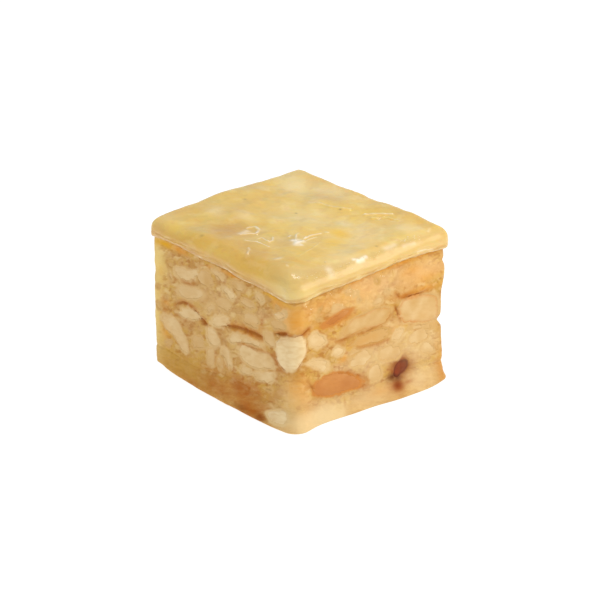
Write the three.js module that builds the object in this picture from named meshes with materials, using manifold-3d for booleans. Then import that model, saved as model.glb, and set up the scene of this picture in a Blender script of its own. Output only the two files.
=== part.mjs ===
// A knife-cut piece of nut baklava: a thin soaked pastry base, a thick filling of chopped nuts bound
// with syrup paste, large kernels that the knife cut through, and a glossy pastry lid that overhangs.
// Millimetres, +Z up. The origin is the middle of the flat underside, +X runs along the longer side.
import * as THREE from "three";
import { mergeVertices } from "three/addons/utils/BufferGeometryUtils.js";
import Module from "manifold-3d";

const wasm = await Module();
wasm.setup();

// ---- Driving dimensions ----
const PIECE_LENGTH = 40.6; // along X, between the two shorter cut faces
const PIECE_WIDTH = 36.8; // along Y
const PIECE_HEIGHT = 30.7; // underside to the top of the lid
const LID_THICKNESS = 4.7;
const BASE_THICKNESS = 4.4;
const LID_OVERHANG = 0.6; // how far the lid's rim stands past the cut faces
const BASE_BULGE = 0.4; // the soaked base sags out this much in the middle of each side
const CUT_CORNER_RADIUS = 0.9;
const LID_CORNER_RADIUS = 2.4;
const LAYER_GAP = 0.3; // air left between separate pieces
const KERNEL_PROUD = 0.25; // a cut kernel stands this far out of the filling's face
const CHIP_PROUD = 0.55; // the most that a fused chip of nut stands out
const FILLING_TOP = PIECE_HEIGHT - LID_THICKNESS - LAYER_GAP;

const HALF_LENGTH = PIECE_LENGTH / 2;
const HALF_WIDTH = PIECE_WIDTH / 2;

// The four cut faces as seen from outside: `along` runs left to right, `out` points away.
const FACES = {
  front: { middle: [0, -HALF_WIDTH], along: [1, 0], out: [0, -1], half: HALF_LENGTH },
  right: { middle: [HALF_LENGTH, 0], along: [0, 1], out: [1, 0], half: HALF_WIDTH },
  back: { middle: [0, HALF_WIDTH], along: [-1, 0], out: [0, 1], half: HALF_LENGTH },
  left: { middle: [-HALF_LENGTH, 0], along: [0, -1], out: [-1, 0], half: HALF_WIDTH },
};

// ---- Colours ----
const LID_HONEY = "#e6c47e";
const BASE_SOAKED = "#c8954f";
const PASTE_TAN = "#d0a465";
const BLANCHED = "#ecd09c";
const TOASTED = "#cf8c48";
const CARAMEL = "#7a3a1c";
const LID_ROUGHNESS = 0.2;
const BASE_ROUGHNESS = 0.45;
const PASTE_ROUGHNESS = 0.55;
const NUT_ROUGHNESS = 0.5;

// Large kernels, each a piece of its own. `along` and `up` place the middle on its face; `tilt` is
// in degrees, positive with the right-hand end up.
const KERNELS = [
  { name: "front_split_nut", face: "front", along: -14, up: 9, length: 10.2, height: 4, tilt: -33 },
  { name: "front_cut_nut", face: "front", along: 9.4, up: 11.6, length: 10.4, height: 3.6, tilt: 2 },
  { name: "front_upper_nut", face: "front", along: -9.4, up: 19, length: 9.2, height: 3, tilt: 13 },
  { name: "front_base_nut", face: "front", along: 15.2, up: 2.4, length: 6.2, height: 2.5, tilt: 4 },
  { name: "right_long_almond", face: "right", along: -1.2, up: 17.7, length: 14, height: 4.1, tilt: -3 },
  { name: "right_edge_almond", face: "right", along: 12.7, up: 15.7, length: 13, height: 6, tilt: -9 },
  { name: "back_cut_almond", face: "back", along: -10.5, up: 16.2, length: 12.6, height: 4.8, tilt: 8 },
  { name: "back_split_nut", face: "back", along: 11, up: 19.6, length: 9.8, height: 3.6, tilt: 14 },
  { name: "left_cut_almond", face: "left", along: 7.8, up: 17.4, length: 12.8, height: 4.6, tilt: -6 },
  { name: "left_split_nut", face: "left", along: -9.4, up: 11.2, length: 10.6, height: 4.2, tilt: 24 },
];
const TOASTED_KERNELS = [
  { name: "right_toasted_almond", face: "right", along: -8.2, up: 7.2, length: 13.6, height: 4.5, tilt: -9 },
  { name: "right_skin_slice", face: "right", along: -8.4, up: 20.8, length: 7.4, height: 1.9, tilt: 7 },
  { name: "back_toasted_almond", face: "back", along: 7.5, up: 9.4, length: 13, height: 4.3, tilt: -7 },
  { name: "left_toasted_almond", face: "left", along: 4.6, up: 8.3, length: 12, height: 4.2, tilt: 5 },
];
const CARAMEL_KERNELS = [
  { name: "right_dark_kernel", face: "right", along: 7.3, up: 5.2, length: 5.4, height: 3.2, tilt: 18 },
];
const ALL_KERNELS = [...KERNELS, ...TOASTED_KERNELS, ...CARAMEL_KERNELS];
const KERNEL_DEPTH = 7; // how wide a kernel is across the cut, and less on a short one
const KERNEL_TAPER = 0.2; // the right-hand end is slimmer by this share, the left-hand end fuller

// One whole kernel stands upright in the front right corner, slim end down, and its sides bulge past
// both cut faces. Its `height` runs along X here and its `depth` along Y.
const CORNER_NUT = { name: "corner_nut", length: 8.8, height: 6.4, depth: 6.4, middle: [17.8, -16.2, 15.8] };

// Chopped nuts large enough to place one by one, fused to the filling: face, along, up, length, height, tilt.
const PLACED_CHIPS = [
  ["front", -11, 22.3, 6.6, 2.4, 16],
  ["front", -10, 14.4, 6.6, 2, 12],
  ["front", -0.8, 15.8, 5.2, 2.4, 22],
  ["front", -3.3, 11.8, 4.4, 3.2, -24],
  ["front", 1.3, 8.8, 4.2, 1.5, -62],
  ["front", -4, 7.4, 4.2, 1.8, -84],
  ["front", 3.3, 13.3, 3.6, 1.9, 15],
  ["front", 7.9, 14.5, 5.2, 1.4, 6],
  ["front", 11.6, 8.4, 6.4, 2.2, 12],
  ["front", 6, 8, 2.8, 1.2, 8],
  ["front", 1.8, 22, 3.6, 1.8, -16],
  ["front", -1.6, 24.6, 3, 1.2, 4],
  ["front", 10.5, 23.6, 2.2, 1.3, 0],
  ["front", 15.8, 22.2, 3, 1.4, 22],
  ["right", -13.6, 17.4, 4, 2.9, -10],
  ["right", -13.3, 12.6, 5.2, 2.5, -16],
  ["right", 0, 13.3, 8, 2.2, -2],
  ["right", 6.9, 12.9, 3, 2.8, 60],
  ["right", 1.6, 6.6, 4.2, 3.6, 74],
  ["right", -2.2, 9.8, 4.4, 2, 10],
  ["right", 12.6, 10.6, 5, 2.6, -14],
  ["right", 12, 22.6, 11.6, 4.8, -6],
  ["right", -3.4, 22.8, 5, 2.2, 8],
];

// The small chips follow a rule: golden-ratio steps spread them evenly, and none lies on a larger nut.
const CHIP_DRAWS = 80;
const CHIP_LENGTH = [2.1, 4.4]; // shortest and longest
const CHIP_SLIMNESS = [0.42, 0.72]; // height over length
const STEP_ROUND = 0.7548776662466927;
const STEP_UP = 0.5698402909980532;
const STEP_SIZE = 0.6180339887498949;
const STEP_TURN = 0.4142135623730951;

// Splits in the filling, each an arc on its face: from, to, sag (mid-point drop), width, depth.
const SPLITS = [
  { face: "front", from: [-14.2, 15], to: [-7.8, 15.5], sag: -1, width: 0.7, depth: 1.6 },
  { face: "front", from: [-7, 14.6], to: [-5, 13.5], sag: 0.1, width: 0.8, depth: 1.5 },
  { face: "front", from: [2.4, 15.9], to: [10.9, 16.7], sag: 0.2, width: 1.1, depth: 2 },
  { face: "right", from: [-4.6, 15.3], to: [5.6, 17.3], sag: 0.7, width: 0.5, depth: 1.8 },
  { face: "right", from: [6.2, 20.9], to: [13.8, 19.6], sag: 0.6, width: 0.8, depth: 2 },
  { face: "back", from: [-5, 13.2], to: [7, 14.4], sag: -0.8, width: 0.8, depth: 1.8 },
  { face: "left", from: [-12, 16.4], to: [-1.5, 14.2], sag: -0.7, width: 0.8, depth: 1.8 },
];

// The rim of the lid isn't even: it swells or draws in round these points.
const LID_SWELLS = [
  { at: [-HALF_LENGTH, 3], reach: 7, out: 0.8 },
  { at: [-HALF_LENGTH, -15], reach: 7, out: -0.35 },
  { at: [9, HALF_WIDTH], reach: 6, out: 0.45 },
  { at: [-6, HALF_WIDTH], reach: 6, out: -0.4 },
  { at: [HALF_LENGTH, 12], reach: 7, out: 0.5 },
  { at: [2, -HALF_WIDTH], reach: 9, out: 0.35 },
];

// ---- Surface rules ----
const fraction = (value) => value - Math.floor(value);
const mix = (low, high, share) => low + (high - low) * share;

// Waves: [height, turns along the first direction, turns along the second, start], in mm and radians.
function wavy(waves, u, v) {
  return waves.reduce((sum, [height, turnsU, turnsV, start]) => {
    return sum + height * Math.sin(turnsU * u + turnsV * v + start);
  }, 0);
}

// Low waves in the two hidden interfaces, so that the layers' edges wander on the cut faces.
const BASE_WAVES = [
  [0.55, 0.26, 0, 0.5],
  [0.4, -0.11, 0.31, 1.57],
];
const TOP_WAVES = [
  [0.35, 0, 0.19, 0.6],
  [0.25, 0.24, 0, 2.47],
];
// The lid's soft swells, a quilt of three waves that stays below the lid's full height.
const LID_WAVES = [
  [0.22, 0.33, 0.21, 0.4],
  [0.18, -0.29, 0.47, 1.9],
  [0.1, 0.81, 0.63, 0],
];
const LID_WAVE_ROOM = 0.45;
// The paste's lumps and dips on the cut faces, by the distance walked round the block and the height.
const PASTE_WAVES = [
  [0.17, 0.83, 0.7, 0],
  [0.15, -0.52, 1.37, 1.1],
  [0.12, 1.93, 1.21, 2.3],
];
const PASTE_SUNK = 0.22; // the paste's average distance behind the knife's plane

const baseTop = (x, y) => BASE_THICKNESS + wavy(BASE_WAVES, x, y);
const fillingTop = (x, y) => FILLING_TOP + wavy(TOP_WAVES, x, y);
const lidTop = (x, y) => PIECE_HEIGHT - LID_WAVE_ROOM + wavy(LID_WAVES, x, y);

function lidRim(x, y) {
  return LID_SWELLS.reduce((sum, { at, reach, out }) => {
    const away = Math.hypot(x - at[0], y - at[1]) / reach;
    return sum + out * Math.exp(-(away ** 2));
  }, 0);
}

// ---- Outline ----
const SIDE_STEPS = 11;
const CORNER_STEPS = 3;

// The block's plan as columns walked anticlockwise: a rectangle with its corners rounded.
function planColumns(radius) {
  const columns = [];
  const corners = [
    [HALF_LENGTH - radius, -HALF_WIDTH + radius, -90],
    [HALF_LENGTH - radius, HALF_WIDTH - radius, 0],
    [-HALF_LENGTH + radius, HALF_WIDTH - radius, 90],
    [-HALF_LENGTH + radius, -HALF_WIDTH + radius, 180],
  ];
  corners.forEach(([cx, cy, start], corner) => {
    for (let step = 0; step <= CORNER_STEPS; step++) {
      const angle = THREE.MathUtils.degToRad(start + (90 * step) / CORNER_STEPS);
      const normal = [Math.cos(angle), Math.sin(angle)];
      columns.push({ x: cx + radius * normal[0], y: cy + radius * normal[1], normal });
    }
    const last = columns.at(-1);
    const [nx, ny, turn] = corners[(corner + 1) % 4];
    const angle = THREE.MathUtils.degToRad(turn);
    const next = [nx + radius * Math.cos(angle), ny + radius * Math.sin(angle)];
    for (let step = 1; step < SIDE_STEPS; step++) {
      const share = step / SIDE_STEPS;
      columns.push({ x: mix(last.x, next[0], share), y: mix(last.y, next[1], share), normal: last.normal });
    }
  });
  let travel = 0;
  columns.forEach((column, index) => {
    const before = columns[Math.max(index - 1, 0)];
    travel += Math.hypot(column.x - before.x, column.y - before.y);
    column.travel = travel;
  });
  return columns;
}

// A closed solid carried up through rings. Each ring takes a column to a point; the first and last
// rings close on a single middle point each.
function ringSolid(columns, rings, bottomMiddle, topMiddle) {
  const points = [bottomMiddle];
  for (const ring of rings) {
    for (const column of columns) points.push(ring(column));
  }
  points.push(topMiddle);
  const count = columns.length;
  const vertex = (ring, column) => 1 + ring * count + (column % count);
  const top = points.length - 1;
  const faces = [];
  for (let column = 0; column < count; column++) {
    faces.push(0, vertex(0, column + 1), vertex(0, column));
    for (let ring = 0; ring + 1 < rings.length; ring++) {
      const [a, b] = [vertex(ring, column), vertex(ring, column + 1)];
      const [c, d] = [vertex(ring + 1, column + 1), vertex(ring + 1, column)];
      faces.push(a, b, c, a, c, d);
    }
    faces.push(top, vertex(rings.length - 1, column), vertex(rings.length - 1, column + 1));
  }
  return new wasm.Manifold(
    new wasm.Mesh({
      numProp: 3,
      vertProperties: new Float32Array(points.flat()),
      triVerts: new Uint32Array(faces),
    }),
  );
}

// Ring makers: a flat share of the plan at a height rule, or the plan moved out along its normal.
const sharedRing = (share, height) => (c) => [c.x * share, c.y * share, height(c.x * share, c.y * share)];
const movedRing = (out, height) => (c) => {
  const x = c.x + c.normal[0] * out(c);
  const y = c.y + c.normal[1] * out(c);
  return [x, y, height(x, y)];
};

// ---- Layers ----
const INNER_SHARES = [0.9, 0.75, 0.5, 0.25]; // the rings that facing layers both have, so their gap is even

function pastryBase() {
  const columns = planColumns(CUT_CORNER_RADIUS);
  const flat = () => 0;
  const EDGE = [
    [-0.6, 0],
    [0.1, 0.1],
    [0.3, 0.4],
    [0.15, 0.75],
  ]; // how far out the side stands at each share of the height
  const bulge = (c) => BASE_BULGE * (1 - Math.abs(c.normal[0] ? c.y / HALF_WIDTH : c.x / HALF_LENGTH) ** 2);
  const rings = [
    sharedRing(0.5, flat),
    ...EDGE.map(([out, share]) => movedRing((c) => out + bulge(c), (x, y) => share * baseTop(x, y))),
    movedRing(() => -0.2, baseTop),
    ...INNER_SHARES.map((share) => sharedRing(share, baseTop)),
  ];
  return ringSolid(columns, rings, [0, 0, 0], [0, 0, baseTop(0, 0)]);
}

const FILLING_LEVELS = 10;
const KNIFE_BLOCK_LOW = 0.6; // no kernel comes lower than this

function fillingBody() {
  const columns = planColumns(CUT_CORNER_RADIUS);
  const bottom = (x, y) => baseTop(x, y) + LAYER_GAP;
  const levels = Array.from({ length: FILLING_LEVELS }, (_, level) => {
    const share = level / (FILLING_LEVELS - 1);
    return (c) => {
      const low = bottom(c.x, c.y);
      const z = mix(low, fillingTop(c.x, c.y), share);
      const out = wavy(PASTE_WAVES, c.travel, z) - PASTE_SUNK;
      return [c.x + c.normal[0] * out, c.y + c.normal[1] * out, z];
    };
  });
  const rings = [
    ...INNER_SHARES.toReversed().map((share) => sharedRing(share, bottom)),
    ...levels,
    ...INNER_SHARES.map((share) => sharedRing(share, fillingTop)),
  ];
  return ringSolid(columns, rings, [0, 0, bottom(0, 0)], [0, 0, fillingTop(0, 0)]);
}

// A plain block of the four knife planes, moved out by `proud`, between the base's and lid's faces.
function knifeBlock(proud) {
  const columns = planColumns(CUT_CORNER_RADIUS);
  const low = () => KNIFE_BLOCK_LOW;
  const high = () => FILLING_TOP;
  const rings = [movedRing(() => proud, low), movedRing(() => proud, high)];
  return ringSolid(columns, rings, [0, 0, low()], [0, 0, high()]);
}

function pastryLid() {
  const columns = planColumns(LID_CORNER_RADIUS);
  const under = (x, y) => fillingTop(x, y) + LAYER_GAP;
  // The rim's section: how far out it stands, as a share of the overhang and beyond, by height.
  const RIM = [
    [-0.5, 0.02],
    [0.25, 0.1],
    [0.85, 0.28],
    [1, 0.48],
    [0.55, 0.7],
    [-0.6, 0.86],
    [-2.6, 0.955],
  ];
  const rim = RIM.map(([out, share]) =>
    movedRing(
      (c) => out * LID_OVERHANG + lidRim(c.x, c.y) * (share < 0.9 ? 1 : 0.6),
      (x, y) => mix(under(x, y), lidTop(x, y), share),
    ),
  );
  const top = [0.84, 0.7, 0.56, 0.42, 0.28, 0.14].map((share) => sharedRing(share, lidTop));
  const inner = INNER_SHARES.toReversed().map((share) => sharedRing(share, under));
  const rings = [...inner, ...rim, ...top];
  return ringSolid(columns, rings, [0, 0, under(0, 0)], [0, 0, lidTop(0, 0)]);
}

// ---- Nuts ----
function solidFrom(geometry) {
  const bare = geometry.index ? geometry.toNonIndexed() : geometry.clone();
  bare.deleteAttribute("normal");
  bare.deleteAttribute("uv");
  const merged = mergeVertices(bare, 1e-4);
  return new wasm.Manifold(
    new wasm.Mesh({
      numProp: 3,
      vertProperties: merged.attributes.position.array,
      triVerts: new Uint32Array(merged.index.array),
    }),
  );
}

// A face's own frame: X along the face, Y into the filling, Z up, tilted in the plane of the face.
function seat(face, along, up, tilt, sunk = 0) {
  const { middle, along: across, out } = FACES[face];
  const x = middle[0] + across[0] * along - out[0] * sunk;
  const y = middle[1] + across[1] * along - out[1] * sunk;
  const axes = new THREE.Matrix4().makeBasis(
    new THREE.Vector3(across[0], across[1], 0),
    new THREE.Vector3(-out[0], -out[1], 0),
    new THREE.Vector3(0, 0, 1),
  );
  const turn = new THREE.Matrix4().makeRotationY(THREE.MathUtils.degToRad(-tilt));
  return axes.multiply(turn).setPosition(x, y, up);
}

// An almond kernel: an ellipsoid with its long axis on X whose section narrows towards +X.
function kernelShape({ length, height, depth = Math.min(KERNEL_DEPTH, length * 0.7) }, grow = 0) {
  const shape = new THREE.SphereGeometry(1, 12, 9).rotateZ(-Math.PI / 2);
  const position = shape.attributes.position;
  const half = new THREE.Vector3(length / 2 + grow, depth / 2 + grow, height / 2 + grow);
  for (let i = 0; i < position.count; i++) {
    const x = position.getX(i);
    const slim = 1 - KERNEL_TAPER * x;
    position.setXYZ(i, x * half.x, position.getY(i) * slim * half.y, position.getZ(i) * slim * half.z);
  }
  return shape;
}

function kernelSolid(kernel, grow = 0) {
  const place = seat(kernel.face, kernel.along, kernel.up, kernel.tilt);
  return solidFrom(kernelShape(kernel, grow).applyMatrix4(place));
}

function cornerNutSolid(grow = 0) {
  const shape = kernelShape(CORNER_NUT, grow);
  shape.rotateY(Math.PI / 2); // the slim end points down
  return solidFrom(shape.translate(...CORNER_NUT.middle));
}

// A chopped chip: a coarse twenty-sided lump, squashed and tilted on its face.
function chipSolid(face, along, up, length, height, tilt) {
  const depth = 0.8 * height;
  const lump = new THREE.IcosahedronGeometry(1, length > 6 ? 1 : 0);
  lump.scale(length / 2, depth, height / 2);
  return solidFrom(lump.applyMatrix4(seat(face, along, up, tilt, depth - CHIP_PROUD)));
}

// True where a small chip would lie on a placed nut, or on the corner nut.
function crowded(face, along, up, size) {
  const taken = [
    ...ALL_KERNELS.map((k) => [k.face, k.along, k.up, k.length, k.height, k.tilt]),
    ...PLACED_CHIPS,
    ["front", CORNER_NUT.middle[0], CORNER_NUT.middle[2], CORNER_NUT.height, CORNER_NUT.length, 0],
    ["right", CORNER_NUT.middle[1], CORNER_NUT.middle[2], CORNER_NUT.depth, CORNER_NUT.length, 0],
  ];
  return taken.some(([on, x, z, length, height, tilt]) => {
    if (on !== face) return false;
    const angle = THREE.MathUtils.degToRad(tilt);
    const [dx, dz] = [along - x, up - z];
    const u = (dx * Math.cos(angle) + dz * Math.sin(angle)) / (length / 2 + size / 2);
    const v = (dz * Math.cos(angle) - dx * Math.sin(angle)) / (height / 2 + size / 2);
    return u * u + v * v < 1;
  });
}

function smallChips() {
  const names = Object.keys(FACES);
  const chips = [];
  for (let draw = 1; draw <= CHIP_DRAWS; draw++) {
    const round = fraction(0.5 + draw * STEP_ROUND) * names.length;
    const face = names[Math.floor(round)];
    const { half } = FACES[face];
    const along = mix(-half + 1.6, half - 1.6, fraction(round));
    const up = mix(BASE_THICKNESS + 2, FILLING_TOP - 1.4, fraction(0.5 + draw * STEP_UP));
    const length = mix(...CHIP_LENGTH, fraction(draw * STEP_SIZE) ** 2);
    const height = length * mix(...CHIP_SLIMNESS, fraction(draw * STEP_TURN));
    const tilt = 160 * (fraction(draw * STEP_TURN * 3) - 0.5);
    if (!crowded(face, along, up, height)) chips.push(chipSolid(face, along, up, length, height, tilt));
  }
  return chips;
}

// A split: a thin arched blade driven into the face, widest in the middle.
const SPLIT_STEPS = 6;

function splitSolid({ face, from, to, sag, width, depth }) {
  const edge = (side) =>
    Array.from({ length: SPLIT_STEPS + 1 }, (_, step) => {
      const share = step / SPLIT_STEPS;
      const bow = 4 * share * (1 - share);
      const half = (side * width * (0.15 + 0.85 * bow)) / 2;
      return new THREE.Vector2(mix(from[0], to[0], share), mix(from[1], to[1], share) - sag * bow + half);
    });
  const outline = new THREE.Shape([...edge(-1), ...edge(1).reverse()]);
  const blade = new THREE.ExtrudeGeometry(outline, { depth: depth + 2, bevelEnabled: false });
  blade.rotateX(Math.PI / 2); // the drawing's Y becomes Z, and the blade runs towards -Y
  blade.translate(0, depth, 0);
  return solidFrom(blade.applyMatrix4(seat(face, 0, 0, 0)));
}

// ---- Assembly ----
const all = (solids) => solids.reduce((sum, solid) => sum.add(solid));

// Loose scraps that a cut leaves behind are dropped.
function largest(solid) {
  return solid.decompose().sort((a, b) => b.volume() - a.volume())[0];
}

function meshOf(name, solid, colour, roughness) {
  const { vertProperties, triVerts } = solid.getMesh();
  const geometry = new THREE.BufferGeometry();
  geometry.setAttribute("position", new THREE.BufferAttribute(vertProperties, 3));
  geometry.setIndex(new THREE.BufferAttribute(triVerts, 1));
  geometry.computeVertexNormals();
  const mesh = new THREE.Mesh(geometry, new THREE.MeshStandardMaterial({ color: colour, roughness }));
  mesh.name = name;
  return mesh;
}

// The lid is the widest piece, so the whole is centred by centring the lid.
function centred(solid) {
  const { min, max } = solid.boundingBox();
  return solid.translate([-(min[0] + max[0]) / 2, -(min[1] + max[1]) / 2, 0]);
}

const kernelPockets = ALL_KERNELS.map((kernel) => kernelSolid(kernel, LAYER_GAP));
const pockets = all([...kernelPockets, cornerNutSolid(LAYER_GAP)]);
const chips = all([...PLACED_CHIPS.map((chip) => chipSolid(...chip)), ...smallChips()]);
const filling = fillingBody()
  .subtract(all(SPLITS.map(splitSolid)))
  .add(chips.intersect(knifeBlock(CHIP_PROUD)))
  .subtract(pockets);

const baklava = new THREE.Group();
baklava.add(meshOf("pastry_base", largest(pastryBase().subtract(pockets)), BASE_SOAKED, BASE_ROUGHNESS));
baklava.add(meshOf("nut_filling", largest(filling), PASTE_TAN, PASTE_ROUGHNESS));
baklava.add(meshOf("pastry_lid", largest(centred(pastryLid())), LID_HONEY, LID_ROUGHNESS));

const knifeCut = knifeBlock(KERNEL_PROUD);
const kinds = [
  [KERNELS, BLANCHED],
  [TOASTED_KERNELS, TOASTED],
  [CARAMEL_KERNELS, CARAMEL],
];
for (const [kernels, colour] of kinds) {
  for (const kernel of kernels) {
    const cut = largest(kernelSolid(kernel).intersect(knifeCut));
    baklava.add(meshOf(kernel.name, cut, colour, NUT_ROUGHNESS));
  }
}
baklava.add(meshOf(CORNER_NUT.name, cornerNutSolid(), BLANCHED, NUT_ROUGHNESS));

export default baklava;
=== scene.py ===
import math

import bpy
import numpy as np
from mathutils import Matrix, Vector


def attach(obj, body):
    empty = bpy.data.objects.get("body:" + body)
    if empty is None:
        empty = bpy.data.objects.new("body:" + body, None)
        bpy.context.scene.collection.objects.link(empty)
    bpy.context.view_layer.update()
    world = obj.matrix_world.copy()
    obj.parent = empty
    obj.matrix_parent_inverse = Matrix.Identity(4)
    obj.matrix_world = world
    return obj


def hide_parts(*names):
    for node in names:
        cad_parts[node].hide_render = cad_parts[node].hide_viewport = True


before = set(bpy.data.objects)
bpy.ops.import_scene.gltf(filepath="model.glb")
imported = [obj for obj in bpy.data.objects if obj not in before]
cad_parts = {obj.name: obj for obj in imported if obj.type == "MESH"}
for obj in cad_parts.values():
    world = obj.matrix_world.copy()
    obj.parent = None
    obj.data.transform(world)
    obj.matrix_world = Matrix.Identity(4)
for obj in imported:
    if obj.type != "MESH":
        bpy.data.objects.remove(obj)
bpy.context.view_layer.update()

# ---------------------------------------------------------------- sizes, in millimetres
MM = 0.001
HALF_LENGTH = 20.3
HALF_WIDTH = 18.4
PIECE_HEIGHT = 30.7
BASE_THICKNESS = 4.4
LID_THICKNESS = 4.7
LAYER_GAP = 0.3
FILLING_TOP = PIECE_HEIGHT - LID_THICKNESS - LAYER_GAP
# The filling's hidden ends reach this far into the base and into the lid.
INTO_BASE, INTO_LID = 0.8, 0.2
SEED = 7

# The layers' hidden faces wander: height, turns along x, turns along y, start.
BASE_WAVES = [(0.55, 0.26, 0.0, 0.5), (0.4, -0.11, 0.31, 1.57)]
TOP_WAVES = [(0.35, 0.0, 0.19, 0.6), (0.25, 0.24, 0.0, 2.47)]
LID_WAVES = [(0.22, 0.33, 0.21, 0.4), (0.18, -0.29, 0.47, 1.9), (0.1, 0.81, 0.63, 0.0)]

# Where the lid's lower lip rides higher or hangs lower: x, y, reach, height.
LIP_RISES = [(x, -19, 4.5, height) for x, height in
             ((-19, 1.2), (-13, 1.3), (-7, 0.35), (-1, 0.45), (5, 0.2), (11, 0.2), (18, -0.8))]
LIP_RISES += [(21, y, 4.5, height) for y, height in
              ((-16, 0.1), (-10, 0.5), (-4, 0.2), (2, 0.35), (8, 0.8), (14, 0.65), (19, 0.7))]
# Where the lid's top lies higher.
LID_RISES = [(-21, 19, 13, 0.42), (-21, -4, 11, 1.0), (4, 19, 12, 0.72), (20, 18, 9, 0.6), (0, 0, 15, -0.2),
             (-17, 19, 4.5, 0.4), (-4, 19, 4, 0.28)]
# Where the lid's outline swells or draws in, and where the soft foot of the base does.
LID_SWELLS = [(-21, 5, 10, 1.1), (-21, -8, 5, 0.3), (9, 19, 8, 0.45), (-6, 19, 6, 0.1), (21, 12, 7, 0.25),
              (2, -19, 9, -0.3), (14, -19, 7, -0.3), (21, -12, 7, -0.25), (-21, -19, 4, -0.15), (-21, 19, 4, 0.1),
              (21, 19, 4, 0.2)]
FOOT_SWELLS = [(-12, -18.4, 6, 0.5), (-4, -18.4, 6, 1.1), (3, -18.4, 5, 1.2), (9.5, -18.4, 4.5, 1.4),
               (15, -18.4, 4, 1.2), (20, -18.4, 4, 0.9), (20.3, -3, 7, 0.9), (20.3, 5.5, 5, 1.3),
               (20.3, 13.5, 6.5, 2.2), (-20.3, 4, 8, 0.6), (-4, 18.4, 9, 0.6)]

# Where the base's underside curls up off the table.
FOOT_LIFTS = [(-20.5, -18.5, 4.5, 0.85)]

# How far the cut faces stand out of the plan, and how steeply the foot spreads towards the table.
FACE_OUT = 0.1
FOOT_FLARE = 1.6
# The nuts lie in beds that rise to the right on the front face and fall on the right-hand one.
BED_SLOPES = (-0.27, 0.21)

# The front right edge is rounded wide, the others hardly: front right, back right, back left, front left.
EDGE_ROUNDING = (2.2, 0.9, 0.8, 0.9)

# Each cut face: a point on it, the direction left to right seen from outside, and outwards.
FACES = {
    "front": ((0, -HALF_WIDTH), (1, 0), (0, -1)),
    "right": ((HALF_LENGTH, 0), (0, 1), (1, 0)),
    "back": ((0, HALF_WIDTH), (-1, 0), (0, 1)),
    "left": ((-HALF_LENGTH, 0), (0, -1), (-1, 0)),
}


def waves(table, u, v):
    """Sum of height * sin(a * u + b * v + start) over the table's rows."""
    return sum(h * np.sin(a * u + b * v + s) for h, a, b, s in table)


def swells(table, x, y):
    """Sum of height * exp(-(distance / reach) ** 2) over the table's rows."""
    return sum(h * np.exp(-(((x - a) ** 2 + (y - b) ** 2) / r**2)) for a, b, r, h in table)


def base_top(x, y):
    """The height of the face where the base ends and the filling starts: its thickness and its waves."""
    return BASE_THICKNESS + waves(BASE_WAVES, x, y)


def lid_under(x, y):
    """The height of the lid's lower face: level, its waves, and the rises of its lip."""
    return FILLING_TOP + LAYER_GAP + waves(TOP_WAVES, x, y) + swells(LIP_RISES, x, y)


def lid_over(x, y):
    """The height of the lid's top before its creases: level, its waves, and its broad rises."""
    return PIECE_HEIGHT - 0.15 + 0.6 * waves(LID_WAVES, x, y) + swells(LID_RISES, x, y)


# ---------------------------------------------------------------- number helpers
def smooth(low, high, value):
    """Eased step from 0 at low to 1 at high, 3 t^2 - 2 t^3; high may be the smaller one."""
    t = np.clip((value - low) / (high - low), 0, 1)
    return t * t * (3 - 2 * t)


def lattice(cell, seed):
    """A repeatable number from -1 to 1 for each whole-number cell: its three numbers and the seed times
    large odd ones, added, then mixed by shifts and a product."""
    n = cell[..., 0] * 374761393 + cell[..., 1] * 668265263 + cell[..., 2] * 1103515245 + seed * 97531
    n &= 0xFFFFFFFF
    n = ((n ^ (n >> 13)) * 1274126177) & 0xFFFFFFFF
    n ^= n >> 16
    return (n & 0xFFFFFF) / float(0x7FFFFF) - 1.0


def lumps(p, size, seed):
    """Smooth random lumps about `size` mm across: lattice numbers blended by a fifth-power ease."""
    q = p / size
    cell = np.floor(q).astype(np.int64)
    f = q - cell
    f = f * f * f * (f * (6 * f - 15) + 10)
    total = np.zeros(p.shape[:-1])
    for corner in np.ndindex(2, 2, 2):
        c = np.array(corner)
        weight = np.prod(np.where(c == 1, f, 1 - f), axis=-1)
        total += weight * lattice(cell + c, seed)
    return total


def crumble(p, size, seed, octaves=3, fall=0.5):
    """Lumps on lumps: each octave is half as wide and `fall` times as high."""
    return sum(fall**k * lumps(p + 31.7 * k, size / 2**k, seed + k) for k in range(octaves))


def round_corner(along):
    """Points and outward normals at distances round the front right edge, counted from its middle."""
    radius = EDGE_ROUNDING[0]
    turn = np.clip(along / radius, -math.pi / 4, math.pi / 4)
    rest, angle = along - radius * turn, turn - math.pi / 4
    normal = np.stack([np.cos(angle), np.sin(angle)], -1)
    tangent = np.stack([-normal[..., 1], normal[..., 0]], -1)
    centre = np.array([HALF_LENGTH + FACE_OUT - radius, radius - HALF_WIDTH - FACE_OUT])
    return centre + radius * normal + rest[..., None] * tangent, normal


def on_face(face, along, up, out=0.0):
    """Points in the row frame from distances along a cut face, up from the table and out of it."""
    along, up, out = np.broadcast_arrays(np.asarray(along, float), up, out)
    if face == "corner":
        ground, normal = round_corner(along)
        return np.concatenate([ground + normal * out[..., None], up[..., None]], -1)
    (mx, my), (ax, ay), (ox, oy) = FACES[face]
    return np.stack([mx + ax * along + ox * out, my + ay * along + oy * out, up], -1)


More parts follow.
